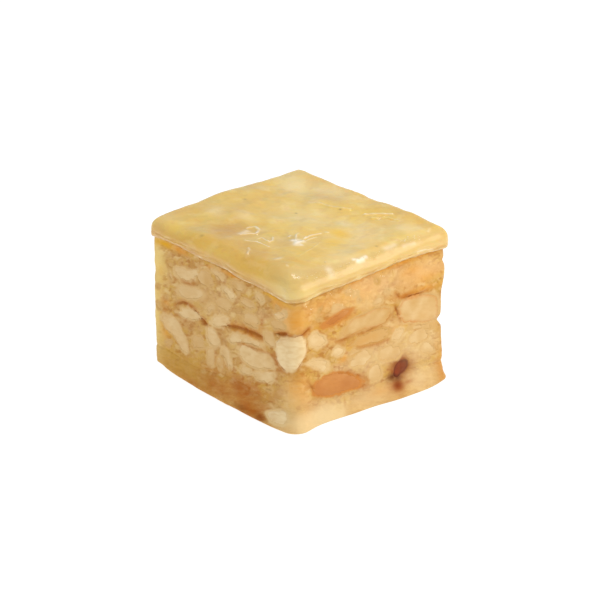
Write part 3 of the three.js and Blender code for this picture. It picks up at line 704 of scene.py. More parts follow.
# Chopped nuts placed one by one on the two best faces: tone (0 whitish to 1 orange), outline.
CHIPS = {
    "front": [
        (0.4, [(-14.3, 22), (-12.8, 22.9), (-10, 23.2), (-7.6, 24), (-7, 23.4), (-8, 22.1), (-9.8, 20.9),
               (-12, 20.7), (-13.6, 21.1)]),
        (0.35, [(-13.4, 13.4), (-11.8, 14.9), (-9.5, 15.5), (-7, 14.9), (-6.8, 14.3), (-8, 13.5), (-10.5, 12.9),
                (-12.6, 12.7)]),
        (0.2, [(-3.6, 14.5), (-3, 15.8), (-1.5, 16.7), (0.8, 17.3), (1.8, 16.9), (1, 15.5), (-0.8, 14.5),
               (-2.6, 14.1)]),
        (0.35, [(-5.2, 12.2), (-4.4, 13.4), (-2.8, 13.5), (-1.6, 12.2), (-1.0, 10.6), (-2.6, 9.9), (-4.6, 10.4)]),
        (0.35, [(-0.6, 9.6), (0.4, 10.9), (1.3, 10.6), (2.2, 8.9), (2.5, 7.4), (1.5, 7), (0.4, 8.2)]),
        (0.55, [(-5, 7.2), (-4.8, 8.9), (-3.4, 9.3), (-2.8, 8), (-3, 6), (-4, 5.4), (-5, 6)]),
        (0.35, [(1.2, 12.4), (1.6, 13.8), (3, 14.6), (4.6, 14.6), (5, 13.4), (3.6, 12.6), (2, 11.9)]),
        (0.35, [(5, 13.6), (6.4, 15), (9, 15.2), (11, 14.9), (10.6, 14.2), (8, 13.9), (6, 13.5)]),
        (0.35, [(8, 8.2), (9.8, 9.2), (13, 10.2), (14.6, 9.8), (13.6, 8.2), (11, 7.3), (9, 7.3)]),
        (0.4, [(4.4, 8), (5.6, 8.9), (7.6, 8.8), (8, 8), (6.2, 7.2), (4.8, 7.2)]),
        (0.3, [(-0.2, 22.6), (0.8, 23.3), (2.6, 23), (3.5, 22), (3.2, 21.2), (2, 21), (0.8, 21.7)]),
        (0.5, [(-3.6, 25), (-2.6, 25.6), (-0.6, 25.5), (0.5, 24.9), (0, 23.7), (-1.6, 24.3)]),
        (0.35, [(9.2, 23.8), (9.8, 24.5), (11, 24.7), (11.6, 23.8), (10.6, 23)]),
        (0.4, [(14.4, 21.6), (15.4, 22.8), (17.2, 23.5), (17.6, 22.6), (16.4, 21.7), (15.2, 21)]),
        (0.5, [(11.2, 16.6), (11.6, 17.9), (13.2, 18.1), (14.2, 17.2), (14.4, 15.6), (12.4, 15.2)]),
        (0.5, [(-5.2, 16.8), (-4.2, 18), (-3, 18.4), (-2.6, 17.8), (-3.6, 16.8), (-4.6, 16.1)]),
        (0.7, [(-9.6, 9.6), (-8.4, 10.6), (-6.6, 10.6), (-5.8, 9), (-6.8, 7.8), (-8.8, 7.8)]),
        (0.7, [(5.4, 18.4), (6.6, 20), (9, 20.4), (10, 19.2), (9.4, 17.8), (7.2, 17.3)]),
        (0.75, [(-2.4, 19), (-1.4, 20.6), (1.2, 21), (2.8, 19.9), (2, 18.6), (-0.4, 18.1)]),
        (0.7, [(4.8, 21.4), (5.8, 22.6), (8, 22.6), (9.2, 21.8), (7.8, 21), (6, 20.8)]),
        (0.75, [(-7.6, 22.4), (-6.8, 24), (-4.8, 24.6), (-3, 23.6), (-3.4, 22), (-5.6, 21.2)]),
        (0.8, [(2, 24.2), (3.2, 25.2), (5.4, 25.4), (6.8, 24.6), (5.4, 23.6), (3.2, 23.4)]),
        (0.75, [(-2.4, 7), (-1.6, 8.4), (-0.4, 8.2), (-0.2, 6.4), (-1.2, 5.8)]),
        (0.8, [(13, 20), (14, 21.2), (16.4, 21), (17.4, 20), (15.8, 19.4), (14, 19.2)]),
    ],
    "corner": [
        (0.2, [(-5.6, 22.0), (-4.2, 22.9), (-2.9, 22.7), (-3.9, 21.8)]),
    ],
    "right": [
        (0.2, [(-15.4, 17.6), (-15.2, 18.8), (-13.6, 19), (-12, 17.8), (-11.4, 16.4), (-12.8, 15.9),
               (-14.6, 16.6)]),
        (0.2, [(-15.8, 13.4), (-14.8, 14), (-13, 13.4), (-11, 12.4), (-10.6, 11), (-11.8, 10.7), (-13.8, 11.6)]),
        (0.35, [(-10, 13.6), (-9.2, 14.6), (-7.6, 14.4), (-6.8, 13.2), (-8, 12.6), (-9.4, 12.9)]),
        (1.0, [(-4.8, 14.1), (-3, 14.9), (0.5, 15.1), (3.6, 14.6), (4.9, 13.4), (2.5, 12.4), (-1, 12.7),
               (-3.6, 13.1)]),
        (0.25, [(5.4, 12.2), (6, 13.5), (7.2, 13.9), (8.3, 13.2), (8.2, 11.8), (7, 11.1), (5.8, 11.3)]),
        (0.5, [(-0.8, 7.6), (0.6, 8.3), (2.4, 7.6), (3, 5.8), (2, 4.6), (0.4, 4.6), (-0.6, 5.6)]),
        (0.45, [(-5.2, 10.2), (-3.4, 11.6), (-1, 11.8), (0.2, 10.4), (-1, 8.9), (-3.4, 8.8), (-4.8, 9.2)]),
        (0.55, [(9.6, 11), (11.6, 12.2), (14, 11.6), (15.2, 10.2), (14, 9), (11.6, 9), (9.8, 9.9)]),
        (0.5, [(12.6, 8.2), (13.8, 9), (15.6, 8.2), (16.4, 6.8), (15, 6), (13.2, 6.8)]),
        (0.6, [(2, 9.6), (3.4, 11), (6, 10.6), (8, 9.2), (7, 7.8), (4, 7.8), (2.4, 8.6)]),
        (0.6, [(0.4, 21), (1.4, 21.7), (2.6, 21.2), (2.8, 20.4), (1.6, 19.9), (0.6, 20.2)]),
        (0.5, [(-9.6, 22.6), (-9, 23.2), (-7.6, 22.6), (-7.2, 21.9), (-8.4, 21.7), (-9.6, 22)]),
        (0.8, [(-5.6, 12.4), (-4.2, 13), (-2.6, 12.2), (-2.2, 11.9), (-4, 11.6), (-5.4, 11.8)]),
        (0.75, [(9, 12.6), (10.6, 13.2), (13.6, 12.6), (16.8, 12.2), (15.8, 11.2), (12.4, 12)]),
    ],
}

# Splits in the filling, along arcs, by face: from, to, sag, half width, depth.
SPLITS = {
    "front": [((-14.2, 14.7), (-8.6, 15.7), -0.85, 0.2, 0.8), ((-8.8, 15.7), (-6.6, 14.4), 0.0, 0.22, 0.8),
              ((-7.1, 14.7), (-4.8, 13.6), 0.1, 0.42, 1.2), ((-0.3, 15), (11, 16.5), -0.4, 0.4, 1.1),
              ((4, 12.7), (11.8, 13.6), -0.2, 0.12, 0.5), ((12.4, 13.9), (16, 11.6), -0.4, 0.13, 0.5),
              ((14.4, 18.2), (18, 19.5), 0.1, 0.3, 0.8), ((-12, 20.4), (-8.4, 20.8), 0.25, 0.12, 0.4)],
    "right": [((-9, 15.9), (-5, 16.0), 0.3, 0.14, 0.5), ((-5, 16.0), (5.4, 17.3), 1.0, 0.14, 0.6),
              ((6, 21.2), (7.2, 19.9), 0.1, 0.2, 0.7), ((7.2, 19.9), (14, 19.4), 0.35, 0.26, 0.9),
              ((5.9, 18.6), (7.4, 15.2), 0.0, 0.35, 0.8), ((-15.8, 9.9), (-13, 6.4), 0.2, 0.12, 0.5),
              ((-3.4, 13.0), (4.5, 12.2), 0.3, 0.09, 0.3), ((-8, 9.2), (-0.6, 5.4), -0.6, 0.12, 0.4)],
    "corner": [((-5.2, 18.1), (-0.6, 19.1), -0.35, 0.2, 0.4), ((-0.6, 19.1), (2.7, 20.3), 0.25, 0.16, 0.5),
               ((2.05, 17.4), (0.3, 12.9), -0.25, 0.1, 0.4), ((-5.5, 14.2), (-2.9, 11.9), 0.35, 0.13, 0.4)],
    "back": [((-5, 13.2), (7, 14.4), -0.8, 0.3, 0.9)],
    "left": [((-12, 16.4), (-1.5, 14.2), -0.7, 0.3, 0.9)],
}


def tone_mark(tone):
    """The mark stored for a tone: tones run from about -0.5, the whitest, to 1."""
    return 0.33 + 0.67 * tone


# ---------------------------------------------------------------- the nuts' list
draw = np.random.default_rng(SEED)
# the slot of each finish, and the colour that a kernel lends to the paste round it
FINISHES = {BLANCHED: ("blanched_nut", "nut"), TOASTED: ("toasted_nut", "toast"),
            CARAMEL: ("caramelised_nut", None)}
kernel_nuts = [traced(face, outline, KERNEL_CHIPPING, 2 * k, tone=tone, proud=0.04, halo=FINISHES[finish][1])
               for k, (_, face, finish, _, tone, outline) in enumerate(KERNELS)]
chips = [traced(face, outline, CHIP_CHIPPING, k, tone=tone, proud=0.02)
         for k, (face, tone, outline) in enumerate((face, *row) for face in CHIPS for row in CHIPS[face])]
# a block of paste at the right end that has no chopped bits in it
plain_block = traced("right", [(6.9, 20.9), (6.8, 23.5), (8.4, 25.2), (13, 25.8), (17.8, 26), (18.4, 24),
                               (18.2, 21.2), (14, 20.3), (9.4, 20.7)])


def is_free(face, along, up, size, taken):
    """Whether a place on a face is at least `size` outside every nut already there."""
    near = [n for n in taken + [plain_block] if n.face == face]
    return all(n.beyond(np.array(along), np.array(up)) > size for n in near)


def half_face(face, margin):
    """Half the length of a face, less a margin kept free at its ends."""
    return (HALF_LENGTH if face in ("front", "back") else HALF_WIDTH) - margin


# On the two plainer faces larger chips stand in for the ones listed one by one.
for face in ("back", "left"):
    half = half_face(face, 3)
    for _ in range(CHIP_TRIES):
        along, up = draw.uniform(-half, half), draw.uniform(7, 24)
        length = draw.uniform(3.4, 7)
        if is_free(face, along, up, 0.42 * length, kernel_nuts + chips):
            chips.append(chopped(face, along, up, length, length * draw.uniform(0.34, 0.6), draw.normal(-8, 20),
                                 draw, tone=draw.uniform(0.1, 0.8), proud=0.03))
# Small chips fill what is left, away from the front right edge, where the cut faces turn.
small_chips = []
for _ in range(SMALL_CHIP_TRIES):
    face = ("front", "right", "back", "left")[draw.integers(4)]
    half = half_face(face, 1.2)
    along, up = draw.uniform(-half, half), draw.uniform(BASE_THICKNESS + 1.4, FILLING_TOP - 0.8)
    length = 1.3 + 1.7 * draw.random() ** 1.5
    chip = chopped(face, along, up, length, length * draw.uniform(0.45, 0.8), draw.normal(5, 30), draw,
                   int(draw.integers(5, 8)), tone=draw.uniform(0.5, 1.15), proud=draw.uniform(-0.03, 0.03))
    round_the_corner = (face == "right" and along < -15.4) or (face == "front" and along > 17.2)
    if not round_the_corner and is_free(face, along, up, 0.4 * length, kernel_nuts + chips + small_chips):
        small_chips.append(chip)
every_nut = kernel_nuts + chips + small_chips


# ---------------------------------------------------------------- plan outline
def plan(columns):
    """A rectangle with round corners walked anticlockwise at equal steps: points and normals."""
    pieces = []
    corners = [(1, -1, -90), (1, 1, 0), (-1, 1, 90), (-1, -1, 180)]
    for (sx, sy, start), radius in zip(corners, EDGE_ROUNDING):
        a = np.radians(start + np.linspace(0, 90, 25))
        centre = np.array([sx * (HALF_LENGTH + FACE_OUT - radius), sy * (HALF_WIDTH + FACE_OUT - radius)])
        normal = np.stack([np.cos(a), np.sin(a)], -1)
        pieces.append(np.hstack([centre + radius * normal, normal]))
    loop = np.vstack(pieces + [pieces[0][:1]])
    travel = np.concatenate([[0], np.cumsum(np.hypot(*np.diff(loop[:, :2], axis=0).T))])
    want = np.linspace(0, travel[-1], columns, endpoint=False)
    got = np.stack([np.interp(want, travel, loop[:, k]) for k in range(4)], -1)
    return got[:, :2], got[:, 2:] / np.hypot(got[:, 2], got[:, 3])[:, None]


def flat_rings(outline, shares, height):
    """Rings inside an outline: the outline times each share, at the height that a function gives."""
    return [np.column_stack([outline * s, height(*(outline * s).T)]) for s in shares]


# ---------------------------------------------------------------- the filling
def along_arc(start, end, sag):
    """Points on a parabola between two points whose middle hangs `sag` lower, and their shares."""
    t = np.linspace(0, 1, 28)
    line = np.outer(1 - t, start) + np.outer(t, end)
    line[:, 1] -= sag * 4 * t * (1 - t)
    return line, t


def filling():
    """Walls: the plan outline carried up from the base to the lid, pushed in and out by lumps, sunk
    under each nut and dug along each split. The two hidden faces close on their middles."""
    columns, levels = 840, 108
    ground, normal = plan(columns)
    low = base_top(*ground.T) - INTO_BASE
    high = lid_under(*ground.T) + INTO_LID
    t = np.linspace(0, 1, levels)[:, None]
    wall = np.empty((levels, columns, 3))
    wall[..., :2] = ground
    wall[..., 2] = low * (1 - t) + high * t
    level = wall_level(wall)
    grain = wall_grain(wall)
    pits = smooth(0.5, 0.85, lumps(wall, 1.1, SEED + 9)) * smooth(-0.1, 0.6, lumps(wall, 4.0, SEED + 12))
    push = level - 0.03 + grain - 0.1 * pits
    # painted shade: the pits, and below each split, are coloured dark brown
    hollow_shade = 0.25 * pits
    seam_and_shade = 0 * push
    lent = {name: 0 * push for name in ("nut", "nut_tone", "toast")}
    for face, start, end, sag, width, depth in ((face, *row) for face in SPLITS for row in SPLITS[face]):
        line, share = along_arc(start, end, sag)
        spine = on_face(face, line[:, 0], line[:, 1])
        near = (np.abs(wall - spine.mean(0)) < np.ptp(spine, 0) / 2 + 1.5).all(-1)
        places = wall[near]
        gap = np.linalg.norm(places[:, None] - spine, axis=-1)
        closest = gap.argmin(1)
        girth = width * (0.3 + 0.7 * np.sin(math.pi * share[closest])) * (1 + 0.6 * lumps(places, 0.9, SEED + 21))
        girth = np.maximum(girth, 0.04)
        fall = np.exp(-((gap.min(1) / girth) ** 2))
        push[near] -= 0.4 * depth * fall
        hollow_shade[near] = np.maximum(hollow_shade[near], 0.85 * fall)
        # painted shade: a broad darker brown beside each split
        seam_and_shade[near] = np.maximum(seam_and_shade[near], 0.5 * np.exp(-((gap.min(1) / (0.35 + 1.5 * girth)) ** 2)))
    rough = lumps(wall, 0.8, SEED + 17)
    shaded = lumps(wall, 2.4, SEED + 18)
    for nut in every_nut:
        along, up, out = face_coordinates(nut.face, wall)
        reach = nut.half[0] + 1.0
        near = (np.abs(out) < 1.0) & (np.abs(along - nut.along) < reach) & (np.abs(up - nut.up) < reach)
        beyond = nut.beyond(along[near], up[near])
        inside = smooth(-0.25, -0.7, beyond)
        push[near] = push[near] * (1 - inside) + inside * (level[near] + nut.proud - 0.5)
        halo = HALO_STRENGTH * smooth(HALO_REACH, -0.05, beyond + 0.3 * rough[near])
        if nut.halo == "nut":
            nearer = halo > lent["nut"][near]
            lent["nut_tone"][near] = np.where(nearer, tone_mark(nut.tone), lent["nut_tone"][near])
        if nut.halo:
            lent[nut.halo][near] = np.maximum(lent[nut.halo][near], halo)
        # painted shade: a dark line round part of each nut's rim
        moat_shade = np.exp(-(((beyond - 0.25) / 0.25) ** 2)) * smooth(0.25, 0.8, shaded[near])
        seam_and_shade[near] = np.maximum(seam_and_shade[near], 0.3 * moat_shade)
    edge = smooth(1.0, 0.985, t)
    push = push * edge - 0.25 * (1 - edge)
    push -= 0.25 * smooth(0.5, -0.8, wall[..., 2] - base_top(wall[..., 0], wall[..., 1]))
    wall[..., :2] += normal * push[..., None]
    under = flat_rings(ground, (0.3, 0.7, 0.94), lambda x, y: base_top(x, y) - INTO_BASE)
    over = flat_rings(ground, (0.94, 0.7, 0.3), lambda x, y: lid_under(x, y) + INTO_LID)
    mesh = ring_mesh("nut_filling_paste", np.concatenate([under, wall, over]))

    def spread(values):
        """A wall's numbers with none on the hidden rings and on the two middles."""
        full = np.zeros((levels + 6, columns))
        full[3:-3] = values
        return np.append(full.ravel(), [0, 0])

    marked = {"hollow_shade": hollow_shade, "seam_and_shade": seam_and_shade, **lent, **zones(wall)}
    store(mesh, **{name: spread(values) for name, values in marked.items()})
    return place(mesh, PASTE, "nut_paste", "nut_filling")


# Places where syrup has gathered or fat has browned, by stain and by face: along, up, half length, half
# height, strength. The egg stain on the front left edge is painted light, the glow through that edge.
ZONES = {
    "apricot": {
        "right": [(12.5, 23.3, 6.5, 2.6, 0.72), (-12, 24, 5, 1.6, 0.45), (-2, 24, 7, 2.6, 0.65),
                  (-11.5, 16.6, 4, 1.2, 0.3), (14, 14.6, 3, 1.6, 0.4), (-16, 5, 2, 4, 0.3)],
        "corner": [(-1.6, 22, 3.8, 3.5, 0.85), (0.3, 23.6, 2.2, 1.4, 0.6), (-0.5, 7.8, 2.4, 3, 0.5)],
    },
    "russet": {
        "right": [(7.5, 5.8, 2.8, 2.2, 1.0), (6.1, 2.5, 1.7, 1.2, 1.0), (8.6, 2.6, 1.5, 0.4, 0.6)],
    },
    "gold": {
        "front": [(-16.8, 26.3, 3.2, 0.7, 1.0), (13.5, 25.3, 2.4, 0.4, 0.8), (-18.3, 20.5, 1.4, 1.2, 0.3)],
        "corner": [(-0.7, 22, 2, 2, 0.15), (-2.2, 24.8, 2.0, 0.5, 0.5)],
    },
    "honey": {
        "front": [(-12.4, 26.4, 2.2, 0.6, 1.0), (2.2, 26.0, 2.6, 0.4, 0.9), (15.2, 24.2, 1.5, 0.9, 0.9),
                  (-16.6, 14.6, 1.2, 1.0, 0.6), (-17, 8.6, 1.4, 2, 0.6), (-3.2, 25.7, 1.2, 0.4, 0.6),
                  (5, 15.6, 6, 1.3, 0.55), (9.5, 18, 3, 1.4, 0.3), (-17, 14, 2.4, 2, 0.25)],
        "right": [(8, 26.8, 12, 0.5, 0.8), (-4.5, 26.4, 2, 0.5, 0.8), (-1, 13.8, 4, 1.0, 0.9),
                  (-11, 24, 8, 2.2, 0.3), (-18.4, 22.2, 2, 2.4, 0.9), (8, 26.2, 12, 0.9, 0.2),
                  (-9, 19.8, 6, 1.2, 0.6), (10, 24.6, 3, 1.2, 0.4), (-17.5, 9, 3, 3, 0.5), (12, 19.8, 6, 0.8, 0.7),
                  (3, 13.6, 5, 1.4, 0.4), (-7, 11.8, 1.2, 0.8, 0.6), (18, 3, 1.4, 5, 0.4),
                  (1.5, 2.6, 2.5, 1.0, 0.35), (14, 22, 3, 1.2, 0.35)],
        "corner": [(-0.2, 21.4, 1.8, 1.6, 0.15), (-0.7, 8.8, 2, 1.4, 0.5), (-4.9, 24.4, 1.8, 0.9, 0.8),
                   (2.5, 22.5, 2, 2.4, 0.4)],
    },
    "amber": {
        "front": [(0, 2.4, 5.5, 2, 0.8), (6, 4.0, 5.5, 2.6, 0.85), (9, 1.4, 5, 2, 1.0), (9.5, 5.2, 2.4, 1.2, 0.7),
                  (11.6, 0.9, 2.2, 1.2, 1.0), (-7, 0.6, 5, 1.0, 0.6), (-3, 5.2, 2.6, 0.8, 0.4),
                  (-11, 1, 3, 0.7, 0.3), (-9.4, 16, 1.8, 0.6, 0.7), (8.6, 16.1, 3.2, 0.6, 0.85),
                  (-12, 23.7, 1.6, 0.7, 0.45), (11, 19.3, 0.7, 1.2, 0.6), (16.4, 18.8, 1.8, 0.7, 0.75),
                  (14.8, 12.6, 1, 1.6, 0.45), (-5.8, 14, 1, 0.6, 0.5), (-17.6, 12.5, 1, 2.4, 0.3)],
        "right": [(17.8, 1.5, 1.4, 3, 0.3), (-9, 20.1, 4, 0.7, 0.7), (-1.8, 4.6, 1.6, 0.8, 0.5),
                  (9, 19.8, 2.2, 0.5, 0.75), (-7.8, 22, 0.8, 0.7, 0.5), (-18.8, 11.5, 2, 1.2, 0.35)],
        "corner": [(-3.8, 17.9, 1.7, 0.9, 0.5), (2.5, 20.2, 0.8, 0.5, 0.8), (-0.5, 19.3, 2.6, 0.3, 0.6),
                   (-2.8, 11.6, 2.2, 0.5, 0.4), (-5.6, 13.4, 0.6, 1.2, 0.5)],
    },
    "burnt": {
        "right": [(7.6, 5.7, 2.0, 1.6, 0.8), (5.3, 4.4, 1.2, 0.9, 0.85), (6.5, 3.9, 1.3, 0.8, 0.75),
                  (6.1, 2.7, 1.1, 0.8, 0.45)],
        "front": [(12.0, 0.9, 1.7, 0.8, 0.42), (6.5, 1.0, 2.4, 0.5, 0.3)],
        "corner": [(-4.1, 18.3, 0.9, 0.5, 0.25)],
    },
    # painted light: the yellow glow through the front left edge, on the front and left faces
    "egg_yellow_and_edge_glow": {
        "front": [(-18.6, 26.6, 2.4, 0.8, 0.9), (-19.2, 22, 2.4, 5, 1.0), (-19.9, 13, 1.9, 10, 0.95),
                  (-18.6, 8, 1.6, 4, 0.5)],
        "left": [(18, 14, 2, 12, 0.7)],
    },
    "tan": {
        "right": [(1.2, 2.4, 3, 2.4, 0.35)],
        "front": [(0, 10, 3, 5, 0.3), (15.5, 9, 2, 4, 0.35), (-8, 18, 5, 5, 0.2), (-9, 11, 5, 4, 0.3)],
    },
    "milk": {
        "right": [(-1, 10, 10, 4, 0.2), (-13, 2.4, 5, 2.6, 0.35), (-1, 2.2, 6, 2.4, 0.2), (11, 2.2, 3, 2, 0.3),
                  (2, 24.2, 8, 2.2, 0.25), (14, 24.6, 4, 1.8, 0.2)],
    },
    "olive": {
        "front": [(-12, 2.5, 9, 3.4, 1.0), (-17, 7, 3, 3, 0.4), (-8, 7, 4, 3, 0.3)],
    },
    "cream": {
        "front": [(-2, 18, 14, 6, 0.3), (-13, 22, 4, 3, 0.3), (5, 11, 9, 4, 0.15), (11.5, 20, 3, 2.5, 0.35)],
        "right": [(-12, 1.6, 8, 2.8, 0.95), (0, 1.8, 8, 2.4, 0.5), (13, 2, 6, 3, 0.7), (13, 9.6, 4, 3, 0.5),
                  (4.4, 9.9, 3, 0.9, 0.8), (10, 8.3, 2, 1.2, 0.7), (12, 2.4, 2.5, 1.5, 0.8),
                  (1.6, 6.4, 1.4, 1.8, 0.6), (3, 9, 6, 2.4, 0.5), (12, 9, 5, 4, 0.95), (-3, 21, 5, 1.4, 0.45),
                  (5, 14, 3, 2.4, 0.5)],
        "corner": [(-0.5, 7, 3, 3, 0.6), (-1, 2.4, 5, 2.6, 0.7)],
    },
}


def zones(p):
    """Every zone's strength at each point."""
    return {name: spots(p, table) for name, table in ZONES.items()}


# ---------------------------------------------------------------- the lid
# Creases of the top sheet and the near-white glints painted along them, painted highlights: points, height, half
# width, how white.
WRINKLES = [
    ([(-4.8, -8.5, 30.3), (-4.8, -7.6, 30.3), (-4.7, -6.8, 30.3)], 0.2, 0.16, 0.55),
    ([(-2.9, -11.6, 30.5), (-2.7, -9.7, 30.3), (-1.9, -8.5, 30.3)], 0.24, 0.17, 0.85),
    ([(-3.3, -11.2, 30.5), (-3.5, -10.3, 30.4), (-3.7, -9.4, 30.3)], 0.12, 0.7, 0.6),
    ([(-4.4, -6.7, 30.2), (-3.0, -7.0, 30.2), (-2.1, -8.3, 30.2)], 0.2, 0.3, 0.65),
    ([(0.4, -10.3, 30.3), (0.6, -9.4, 30.3), (2.2, -9.8, 30.4), (3.2, -9.9, 30.4), (3.1, -9, 30.5),
      (1.7, -7.7, 30.4)], 0.2, 0.18, 0.6),
    ([(-0.4, -12.7, 30.4), (0.5, -12.3, 30.4), (1.5, -11.7, 30.5), (3.1, -11.6, 30.5), (4.9, -11.5, 30.4)],
     0.22, 0.17, 0.75),
    ([(2.6, -14.5, 30.3), (3.5, -15, 30.2), (4.3, -16.2, 30.1)], 0.2, 0.22, 0.35),
    ([(10.5, -14.4, 30.5), (10.6, -13.8, 30.5)], 0.15, 0.6, 0.3),
    ([(14.0, -15.1, 30.6), (14.3, -15, 30.6)], 0.15, 0.25, 0.3),
    ([(5.9, -6.4, 30.6), (7.2, -6.4, 30.6), (7.3, -5.5, 30.6)], 0.2, 0.65, 1.0),
    ([(7.6, -7, 30.7), (8.4, -6.9, 30.6)], 0.1, 0.55, 0.85),
    ([(6.2, -5.5, 30.6), (7, -6.3, 30.6), (7.9, -7.2, 30.6)], 0.06, 0.85, 1.0),
    ([(3.6, -3.1, 30.5), (3.9, -3.9, 30.5), (6.3, -6.1, 30.7)], 0.2, 0.22, 0.6),
    ([(3.6, -5.4, 30.4), (3.4, -4.9, 30.4)], 0.15, 0.3, 0.4),
    ([(6.4, -4.2, 30.6), (5.9, -2.3, 30.4), (6, -1.1, 30.4), (6.3, 0.1, 30.4)], 0.26, 0.22, 0.85),
    ([(7.6, -5.5, 30.6), (7, -3.5, 30.4), (7, -1.7, 30.4)], 0.22, 0.17, 0.75),
    ([(6.7, 1.1, 30.5), (7, 1.3, 30.5)], 0.1, 0.25, 0.35),
    ([(12, -10.2, 30.5), (10.9, -6.2, 30.4), (9.5, -3, 30.3)], 0.16, 0.15, 0.3),
    ([(19.1, -9.5, 29.9), (19.8, -9.9, 29.3)], 0.0, 0.85, 0.4),
    ([(19.2, -3.5, 30.3), (19.7, -2.5, 29.9), (19.5, -0.7, 30)], 0.1, 0.36, 1.0),
    ([(19.7, -3.1, 29.9), (19.7, -1.7, 29.8)], 0.1, 0.42, 1.0),
    ([(21.2, 10.6, 28.4), (21.2, 12.7, 28.3), (21.2, 14.8, 27.8)], 0.0, 0.13, 0.6),
    ([(20.5, 7.9, 30), (20.6, 10.4, 29.9)], 0.0, 0.4, 0.35),
    ([(19.6, 14.9, 30.6), (19, 16, 30.8)], 0.15, 0.25, 0.5),
    ([(19.4, 4.1, 30.2), (19.5, 6.3, 30.4)], 0.0, 0.6, 0.35),
    ([(-4.6, 9.2, 31), (-0.6, 10, 30.9), (2.1, 11.4, 31)], 0.22, 0.35, 0.2),
    ([(5.7, 11.9, 30.8), (7.2, 13.4, 31), (9.6, 15.2, 31.1)], 0.32, 0.3, 0.55),
    ([(8, 11.5, 30.8), (10, 13.8, 31), (12.5, 14, 31)], 0.25, 0.25, 0.15),
]


def near_path(points, path, reach):
    """Distance from points to a line through the path's points; on the top heights count a quarter.
    Points further off than `reach` read as just that."""
    p = np.array(path, float)
    t = np.linspace(0, len(p) - 1, 10 * len(p))
    squash = np.array([1, 1, 0.25 if p[:, 0].max() < 18 else 0.8])
    line = np.stack([np.interp(t, np.arange(len(p)), p[:, k]) for k in range(3)], -1) * squash
    gap = np.full(len(points), float(reach))
    near = ((points > p.min(0) - reach) & (points < p.max(0) + reach)).all(-1)
    gap[near] = np.sqrt((((points[near] * squash)[:, None, :] - line) ** 2).sum(-1)).min(-1)
    return gap


def rounded_side(share, half_run, half_out, first, last):
    """A side of a round-cornered rectangle, from the middle of one corner's arc to the next: distance
    along it, distance out, and the outward normal in the same two directions."""
    straight = 2 * half_run - first - last
    start = math.pi / 4 * first
    s = share * (start + straight + math.pi / 4 * last)
    turn = np.clip((s - start - straight) / last, 0, None) - np.clip((start - s) / first, 0, None)
    radius = np.where(turn < 0, first, last)
    run = np.clip(s - start, 0, straight) - half_run + first + radius * np.sin(turn)
    return run, half_out - radius + radius * np.cos(turn), np.sin(turn), np.cos(turn)


# The lid's outline stands out this far, with its corners rounded: front left, front right, back right,
# back left. The top's corners are set in by how widely the rim is rounded there, in the same order.
LID_OVERHANG = 0.75
LID_ROUNDING = (1.3, 3.2, 1.2, 1.0)
LID_TOP_CORNERS = np.array([(-1, -1), (1, -1), (1, 1), (-1, 1)])
LID_TOP_SET_IN = np.array([(0.9, 1.8), (-3.6, 3.4), (-1.9, -0.8), (0.4, -0.4)])
RIM_ROWS = 17

# Patches of the top sheet: x, y, half length, half width, strength.
LID_PATCHES = {
    "pale": [(-15, 13, 5, 4, 0.6), (-9, 15, 7, 3, 0.5), (6, 6.5, 2.6, 1.8, 0.5), (-13.5, -8.5, 2.2, 1.6, 0.5),
             (-9, -5.5, 2.6, 1.8, 0.45), (16.5, 12.5, 3, 2.4, 0.45), (-2, 4, 8, 5, 0.3), (12, 4, 6, 7, 0.45),
             (17, -4, 4, 5, 0.4), (-19, -17, 3, 3, 0.3)],
    "egg_yellow_and_edge_glow": [(9, 2.5, 2.4, 1.6, 0.9), (11, -1.5, 2, 2.6, 0.8), (13, -6, 2, 2, 0.5)],
    "honey": [(2, -15, 14, 4, 0.45), (-5.5, -11.7, 4.5, 4.5, 0.75), (-12, -4, 4, 6, 0.3), (-13, -4, 3, 7, 0.3),
              (-5, 12.5, 3.4, 1.6, 0.4), (-19, -14, 3, 6, 0.3), (5, -8.5, 4, 3.5, 0.3), (12, 17.5, 8, 1.6, 0.3)],
}
# Dark specks of crumb on it: x, y, half length, half width, strength.
LID_SPECKS = [(-4.5, 3.6, 0.3, 0.25, 0.5), (0.8, 10.1, 0.3, 0.25, 0.6), (18, 3.3, 0.3, 0.25, 0.5),
              (-7.3, -17.3, 0.4, 0.3, 0.35), (-14.8, -0.3, 0.4, 0.3, 0.35)]


